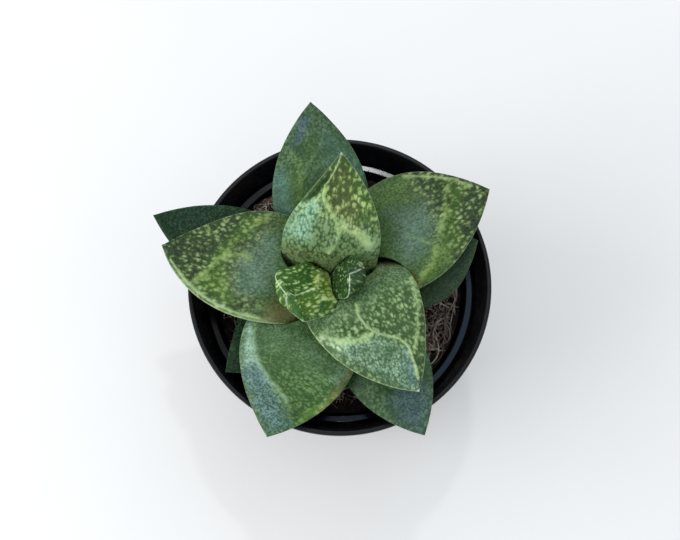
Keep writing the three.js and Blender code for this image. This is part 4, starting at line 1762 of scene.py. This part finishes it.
# The four leaves of the heart, youngest first.
YOUNG_LEAVES: tuple[Leaf, ...] = (
    Leaf(
        "leaf_01", (3.2, -2.5, 114), (-2.6, 1.4, 84), (7.4, 7.6), stand=86, rise=21, reach=8,
        pitch=130, sweep=14, turn=18, widest=0.5, foot=1, taper=(3.4, 3.4), crown=2.2, belly=4.6,
        thinning=8, headroom=0, seed=1, slot="young_leaf", finish=INNER, sage_to=(0.0, 0.05), tan=0,
        cover=((0, 0.28), (1, 0.21)), keel_cover=0.22, rim=1.0, rim_width=(0.2, 0.2),
        rim_to=(0.0, 1.1), nib=0,
        seams=(
            Seam(((0.62, 0.15), (0.5, 0.2), (0.42, 0.3), (0.3, 0.42)),
                 0.15, 0.4, (0.2, 0.2), 0.5, 0.7),
            Seam(((0.997, 0.3), (0.957, 0.5), (0.88, 0.56), (0.8, 0.6), (0.7, 0.62)),
                 colour=0.3, spread=0.5, line=1.0, under=True),
        ),
    ),
    Leaf(
        "leaf_02", (-17, -9.6, 113), (-1.4, -2.6, 84), (9.4, 9.8), stand=90, rise=24, reach=8,
        pitch=98, turn=16, widest=0.6, foot=1.25, taper=(7, 4.6), crown=2.8, belly=4.6, thinning=8,
        cup=(-1.4, 0.8), headroom=0, seed=2, slot="young_leaf", finish=HEART, sage_to=(0.1, 0.4),
        tan=0, cover=((0, 0.34), (0.5, 0.31), (1, 0.27)), keel_cover=0.25, rim=1.0,
        rim_width=(0.2, 0.2), rim_to=(0.88, 1.1), nib=0,
        seams=(
            Seam(((0.99, 0.1), (0.92, 0.17), (0.68, 0.1), (0.58, 0.07), (0.52, 0.09)),
                 0.3, 0.5, (0.3, 0.3), 0.5, 0.4, 0.7),
            Seam(((0.52, 0.09), (0.44, -0.05), (0.37, -0.28), (0.3, -0.56)),
                 0.3, 0.8, (0.3, 0.3), 0.9, 0.9),
            Seam(((0.52, 0.1), (0.47, 0.36), (0.42, 0.52), (0.33, 0.66)),
                 0.3, 0.9, (0.3, 0.3), 0.9, 0.9),
            Seam(((0.16, -0.6), (0.23, -0.1), (0.27, 0.26), (0.25, 0.57)),
                 0.2, 0.5, (0.1, 0.1), 0.3, 0.5, 0.4),
            Seam(((0.997, 0.5), (0.972, 0.38), (0.93, 0.4), (0.885, 0.47), (0.89, 0.75),
                  (0.87, 0.97)), colour=0.3, spread=0.5, line=1.0, under=True),
        ),
        areas=(
            Area(Tone.WARM, ((0.85, 0.15), (0.55, 0.12), (0.45, 0.5), (0.6, 0.9), (0.85, 0.8)),
                 0.5, 1.0),
            Area(Tone.WARM, ((0.15, -0.8), (0.4, -0.6), (0.52, 0.0), (0.45, 0.6), (0.2, 0.9)),
                 0.9, 1.5, 0.46),
            Area(Tone.SHADE, ((1.0, 0.0), (0.93, 0.5), (0.88, 0.1), (0.93, -0.5)), 0.35, 1.0),
        ),
    ),
    Leaf(
        "leaf_03", (0.5, 37, 118.7), (-4, 3.2, 83), (16.5, 15.8), stand=84, rise=32, reach=20,
        pitch=30, sweep=8, widest=0.36, foot=0.96, taper=(1.7, 2), crown=3.6, belly=8.5, seed=3,
        slot="young_leaf", finish=UPRIGHT, nib=1.0,
        cover=((0.0, 0.5), (0.35, 0.5), (0.55, 0.42), (0.9, 0.33), (1.0, 0.15)),
        seams=(
            Seam(((0.99, 0.1), (0.95, 0.32), (0.89, 0.48), (0.79, 0.6)),
                 0.35, 0.5, (0.5, 0.3), 0.5, 0.5, 0.8),
            Seam(((0.79, 0.6), (0.7, 0.43), (0.62, 0.17), (0.53, -0.05), (0.46, -0.12),
                  (0.38, -0.08), (0.31, 0.02)), 0.45, 0.8, (0.9, 0.5), 1.05, 0.9),
            Seam(((0.53, -0.05), (0.5, -0.32), (0.46, -0.58), (0.41, -0.78)),
                 0.35, 1.5, (0.5, 0.5), 1.0, 1.8),
            Seam(((0.7, 0.43), (0.67, 0.77), (0.57, 0.85), (0.42, 0.88)),
                 0.3, 1.2, (0.3, 0.3), 0.45, 1.4),
        ),
        # On the left flank the bloom area carries a painted sheen where the flank faces the light,
        # and the cream area is pale tone with painted highlight.
        areas=(
            Area(Tone.OLIVE, ((1.0, 0.0), (0.89, 0.44), (0.79, 0.54), (0.7, 0.38), (0.6, 0.08),
                  (0.56, -0.4), (0.62, -0.65), (0.8, -0.6), (0.95, -0.5)), 1.0, 1.6, 0.32),
            Area(Tone.BLOOM, ((0.72, 0.7), (0.66, 0.5), (0.55, 0.45), (0.45, 0.45), (0.36, 0.55),
                  (0.36, 1.0), (0.7, 1.0)), 0.8, 4.0, 0.5),
            Area(Tone.CREAM_HIGHLIGHT, ((0.47, -0.5), (0.44, -0.9), (0.36, -0.9), (0.4, -0.6)),
                 0.6, 2.0, 0.56),
            Area(Tone.WARM, ((0.56, -0.1), (0.55, -0.6), (0.46, -0.7), (0.48, -0.1)),
                 0.7, 2.4, 0.46),
            Area(Tone.SHADE, ((0.99, 0.2), (0.95, 0.4), (0.89, 0.56), (0.8, 0.7), (0.72, 0.8),
                  (0.66, 1.0), (1.0, 1.0)), 0.8, 0.5, 0.22),
        ),
    ),
    Leaf(
        "leaf_04", (25.5, -40, 107), (1.5, 1, 82), (18.5, 19.5), stand=82, rise=28, reach=18,
        pitch=0, widest=0.38, foot=0.66, taper=(1.8, 2.3), belly=8.5, seed=4, slot="young_leaf",
        finish=BROAD, nib=0.9, rim_width=(0.3, 0.36),
        cover=((0.0, 0.46), (0.4, 0.41), (0.6, 0.34), (1.0, 0.32)), sage_to=(0.3, 0.55),
        seams=(
            Seam(((0.4, -0.13), (0.47, -0.2), (0.53, -0.2), (0.6, -0.15), (0.66, 0.07), (0.7, 0.25),
                  (0.75, 0.38), (0.8, 0.42), (0.86, 0.47), (0.93, 0.55)),
                 0.45, 0.8, (0.7, 0.6), 1.0, 0.7, 0.75),
            Seam(((0.45, -0.93), (0.52, -0.78), (0.57, -0.58), (0.6, -0.32), (0.6, -0.15)),
                 0.45, 1.2, (0.4, 0.7), 1.0, 1.5),
            Seam(((0.42, 0.96), (0.5, 0.93), (0.61, 0.87), (0.72, 0.75), (0.8, 0.55)),
                 0.35, 1.2, (0.3, 0.3), 0.8, 1.2, 0.2),
        ),
        # The bloom area carries painted sheen, the blue area at the tip painted sky reflection, and
        # the cream area on the lower left a painted highlight where the flank faces the light.
        areas=(
            Area(Tone.BLOOM, ((0.61, -0.1), (0.68, 0.1), (0.76, 0.34), (0.88, 0.42), (1.0, 0.0),
                  (0.9, -1.0), (0.6, -1.0), (0.56, -0.7)), 0.75, 2.4, 0.38),
            Area(Tone.BLUE, ((0.78, 0.3), (0.88, 0.42), (1.0, 0.0), (0.93, -0.5), (0.84, -0.1)),
                 0.8, 1.8, 0.34),
            Area(Tone.CREAM_HIGHLIGHT, ((0.45, -1.0), (0.46, -0.75), (0.56, -0.62), (0.62, -0.8),
                  (0.6, -1.0)), 0.7, 3.0, 0.46),
            Area(Tone.SHADE, ((0.93, 0.7), (0.8, 0.75), (0.6, 0.97), (0.8, 1.0), (1.0, 1.0)),
                 0.3, 0.5),
        ),
    ),
)

# The three broad leaves about them.
GROWN_LEAVES: tuple[Leaf, ...] = (
    Leaf(
        "leaf_05", (-60, 11, 98), (-5, 0, 81), (18, 20), sweep=-10, taper=(2.3, 2), belly=8.5,
        # The wider pale rim on the lower margin is partly the horny margin and partly a painted
        # highlight.
        seed=5, finish=GROWN, rim_width=(0.5, 0.28), rim=0.85, nib=0.2,
        cover=((0.0, 0.46), (0.5, 0.4), (0.7, 0.34), (1.0, 0.25)), sage_to=(0.36, 0.6),
        seams=(
            Seam(((0.55, -0.15), (0.6, -0.17), (0.67, -0.1), (0.71, 0.03), (0.74, 0.32),
                  (0.78, 0.6), (0.81, 0.85)), 0.35, 1.0, (0.4, 0.4), 1.0, 1.4, 0.2),
            Seam(((0.67, -0.1), (0.71, -0.32), (0.74, -0.55), (0.81, -0.93)),
                 0.25, 0.9, (0.3, 0.3), 0.7),
            Seam(((0.5, -0.85), (0.55, -0.73), (0.6, -0.57), (0.65, -0.38), (0.67, -0.13)),
                 0.3, 1.1, (0.3, 0.3), 0.8, 1.6),
            Seam(((0.74, 0.32), (0.65, 0.45), (0.65, 0.68)), 0.2, 0.8, (0.2, 0.2), 0.7, 1.2),
            # This seam along the lower margin is partly the pale horny margin and partly a painted
            # highlight where the rounded margin faces the light.
            Seam(((0.45, 0.95), (0.55, 0.94), (0.65, 0.93), (0.75, 0.91), (0.85, 0.86),
                  (0.93, 0.75)), 0.25, 0.6, (0.2, 0.1), 1.0, 0.8, 0.9),
        ),
        # The bloom area carries painted sheen, and the cream area along the lower margin is painted
        # highlight over the pale margin.
        areas=(
            Area(Tone.WARM, ((0.75, 0.1), (0.78, 0.9), (0.55, 0.95), (0.62, 0.5), (0.66, 0.0),
                  (0.5, -0.9), (0.62, -0.95), (0.72, -0.2)), 0.7, 3.5, 0.38),
            Area(Tone.BLOOM, ((0.42, -0.6), (0.42, 0.5), (0.6, 0.6), (0.63, 0.0), (0.5, -0.6)),
                 0.78, 5.0, 0.4),
            Area(Tone.CREAM_HIGHLIGHT, ((0.86, 0.86), (0.6, 0.92), (0.4, 0.93), (0.4, 1.1), (0.6, 1.1),
                  (0.86, 1.1)), 0.7, 1.2, 0.46),
            Area(Tone.TAN, ((0.25, 0.3), (0.25, 1.0), (0.45, 1.0), (0.42, 0.7)), 0.6, 4.0),
        ),
    ),
    Leaf(
        "leaf_06", (50.5, 29, 103), (2.5, 2.5, 80), (21, 17.5), stand=72, pitch=10, widest=0.5,
        taper=(2.3, 2), belly=8.5, seed=6, finish=GROWN, nib=0.2, rim=0.5,
        cover=((0.0, 0.44), (0.5, 0.42), (0.72, 0.33), (1.0, 0.27)), sage_to=(0.55, 0.75),
        seams=(
            Seam(((0.85, 0.75), (0.8, 0.5), (0.77, 0.17), (0.73, -0.07), (0.68, -0.28),
                  (0.63, -0.48), (0.58, -0.68), (0.51, -0.8), (0.43, -0.93)),
                 0.45, 1.2, (0.7, 0.5), 1.0, 1.6),
            Seam(((0.66, 0.95), (0.79, 0.87), (0.87, 0.83), (0.93, 0.66)),
                 0.3, 0.8, (0.3, 0.3), 0.9, 0.8, 0.5),
            Seam(((0.5, 0.0), (0.55, -0.15), (0.58, -0.32), (0.62, -0.42)),
                 0.3, 0.8, (0.3, 0.3), 0.6, 0.9, 0.15),
        ),
        # The bloom area carries painted sheen.
        areas=(
            Area(Tone.WARM, ((0.83, 0.75), (0.78, 0.15), (0.7, -0.25), (0.55, -0.75), (0.4, -0.9),
                  (0.5, -0.98), (0.75, -0.9), (0.8, -0.2), (0.9, 0.6)), 0.6, 2.5, 0.38),
            Area(Tone.WARM, ((0.45, 0.6), (0.6, 0.55), (0.7, 0.75), (0.65, 0.95), (0.5, 0.9)),
                 0.5, 3.0, 0.38),
            Area(Tone.BLOOM, ((0.48, 0.5), (0.68, 0.35), (0.66, -0.15), (0.56, -0.5), (0.42, -0.5)),
                 0.9, 5.0, 0.44),
            Area(Tone.TAN, ((0.3, -0.5), (0.44, -0.8), (0.44, -1.0), (0.3, -1.0)), 0.9, 2.5),
        ),
    ),
    Leaf(
        "leaf_07", (-24, -53, 92.5), (-3.5, -4, 79.5), (18, 21.5), stand=64, pitch=0,
        taper=(2.4, 2.2), belly=7, seed=7, finish=MOTTLED, rim=0.4, nib=0,
        cover=((0.0, 0.41), (0.5, 0.39), (0.75, 0.41), (1.0, 0.37)),
        seams=(
            Seam(((0.3, -0.72), (0.4, -0.82), (0.5, -0.82), (0.6, -0.72), (0.66, -0.6),
                  (0.72, -0.32), (0.78, 0.05), (0.83, 0.42)), 0.4, 0.9, (0.4, 0.8), 0.8, 0.9),
            Seam(((0.56, -0.4), (0.52, -0.2), (0.46, -0.03)), 0.3, 1.0, (0.2, 0.4), 0.4, 1.0),
        ),
        # The bloom areas carry painted sheen, and the blue area over the tip is painted sky
        # reflection.
        areas=(
            Area(Tone.BLOOM, ((0.42, -1.0), (0.5, -0.85), (0.66, -0.62), (0.74, -0.3), (0.8, -0.9),
                  (0.7, -1.0)), 0.85, 2.6, 0.5),
            Area(Tone.BLUE, ((0.74, -1.1), (0.66, -0.7), (0.74, -0.38), (0.8, 0.0), (0.86, 0.35),
                  (0.9, 0.85), (0.93, 1.1), (1.02, 1.0), (1.0, -1.1)), 0.9, 4.0, 0.42),
            Area(Tone.WARM, ((0.7, 0.84), (0.82, 0.7), (0.87, 0.88), (0.8, 1.0), (0.66, 0.98)),
                 0.7, 2.2),
            Area(Tone.BLOOM, ((0.5, 0.7), (0.6, 0.72), (0.62, 0.95), (0.5, 0.95)), 0.4, 1.6),
            Area(Tone.TAN, ((0.4, 0.97), (0.78, 0.97), (0.78, 1.1), (0.4, 1.1)), 0.5, 0.9),
        ),
    ),
)

# The five low leaves, the oldest last.
OLD_LEAVES: tuple[Leaf, ...] = (
    Leaf(
        "leaf_08", (-10, 61, 101), (-2, 5, 79), (17.5, 15.5), stand=50, rise=22, pitch=10,
        taper=(2.1, 2), belly=6.5, seed=8, slot="old_leaf", finish=OLD, rim=0.35, nib=0,
        cover=((0, 0.51), (1, 0.43)),
        seams=(
            Seam(((0.86, 0.3), (0.78, 0.15), (0.7, -0.05), (0.62, -0.3), (0.55, -0.5)),
                 0.25, 0.9, (0.3, 0.3), 0.4, 0.9),
            Seam(((0.84, -0.4), (0.76, -0.15), (0.7, 0.1), (0.62, 0.35)),
                 0.2, 0.9, (0.3, 0.3), 0.4, 0.9),
        ),
        # The bloom areas carry painted sheen and the blue area near the tip painted sky reflection.
        areas=(
            Area(Tone.BLOOM, ((0.4, 0.6), (0.66, 0.75), (0.66, 1.1), (0.4, 1.1)), 0.7, 3.0),
            Area(Tone.BLOOM, ((0.66, -0.5), (0.76, -0.1), (0.84, -0.3), (0.8, -0.8)), 0.6, 3.0),
            Area(Tone.BLUE, ((0.8, 0.35), (0.93, 0.2), (0.93, 0.9), (0.76, 0.8)), 0.9, 2.0),
            Area(Tone.WARM, ((0.45, 0.3), (0.72, 0.35), (0.74, 0.65), (0.45, 0.7)), 0.6, 3.0),
            Area(Tone.WARM, ((0.7, 0.1), (0.82, 0.0), (0.8, 0.3), (0.7, 0.35)), 0.6, 2.6),
            Area(Tone.BLOOM, ((0.48, -0.2), (0.7, -0.1), (0.8, -0.5), (0.72, -1.0), (0.48, -1.0)),
                 0.62, 4.0),
            Area(Tone.SHADE, ((1.0, 0.0), (0.93, 0.9), (0.84, 0.3), (0.82, -0.5), (0.92, -0.9)),
                 0.25, 3.5),
        ),
    ),
    Leaf(
        "leaf_09", (28, -52.5, 92.5), (1.5, -4.5, 78.5), (15, 14), stand=38, rise=20, pitch=2,
        widest=0.5, taper=(2.3, 2.3), belly=5, seed=9, slot="old_leaf", finish=OLD, rim=0.3, nib=0,
        cover=((0, 0.49), (1, 0.43)),
        # The blue area is painted sky reflection.
        areas=(
            Area(Tone.BLUE, ((0.88, -1.0), (0.74, -0.4), (0.6, 0.3), (0.58, 0.9), (0.9, 1.0),
                  (1.05, 0.3), (0.98, -1.0)), 0.75, 5.0),
        ),
    ),
    Leaf(
        "leaf_10", (-63.5, 22, 96), (-5.5, 1.5, 78.5), (15, 14), stand=32, rise=20, pitch=8,
        widest=0.5, taper=(1.9, 1.9), crown=2.5, belly=5, seed=10, sage_to=(1.2, 1.5),
        slot="old_leaf", finish=SHADED, rim=0.6, nib=0, cover=((0, 0.41), (1, 0.33)),
    ),
    Leaf(
        "leaf_11", (47.5, 14.5, 90.5), (4, 1, 78), (15, 16.2), stand=26, rise=20, reach=20, pitch=8,
        widest=0.5, taper=(1.9, 2.9), crown=2.5, belly=4, thinning=1.8, seed=11, sage_to=(1.2, 1.5),
        slot="old_leaf", finish=SUNK, rim=0.25, nib=0, cover=((0, 0.41), (1, 0.36)),
        areas=(
            Area(Tone.WARM, ((0.3, -0.8), (0.7, -0.8), (0.7, -1.0), (0.3, -1.0)), 0.3, 3.0),
        ),
    ),
    Leaf(
        "leaf_12", (-38.5, -31, 90), (-5, -3.5, 78), (13, 14), stand=24, rise=18, reach=20,
        pitch=10, widest=0.5, taper=(1.9, 1.9), crown=2.5, belly=4, thinning=1.8, seed=12,
        sage_to=(1.2, 1.5), slot="old_leaf", finish=SHADED, rim=0.2, nib=0,
        cover=((0, 0.41), (1, 0.31)),
    ),
)


def main() -> None:
    """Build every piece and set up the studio."""
    logging.basicConfig(level=logging.INFO, format="%(message)s", stream=sys.stdout)
    pot = NurseryPot()
    pot.build()
    rosette = Rosette((*YOUNG_LEAVES, *GROWN_LEAVES, *OLD_LEAVES))
    rosette.build()
    PottingSoil(pot, rosette).build()
    Studio().build()


if __name__ == "__main__":
    main()
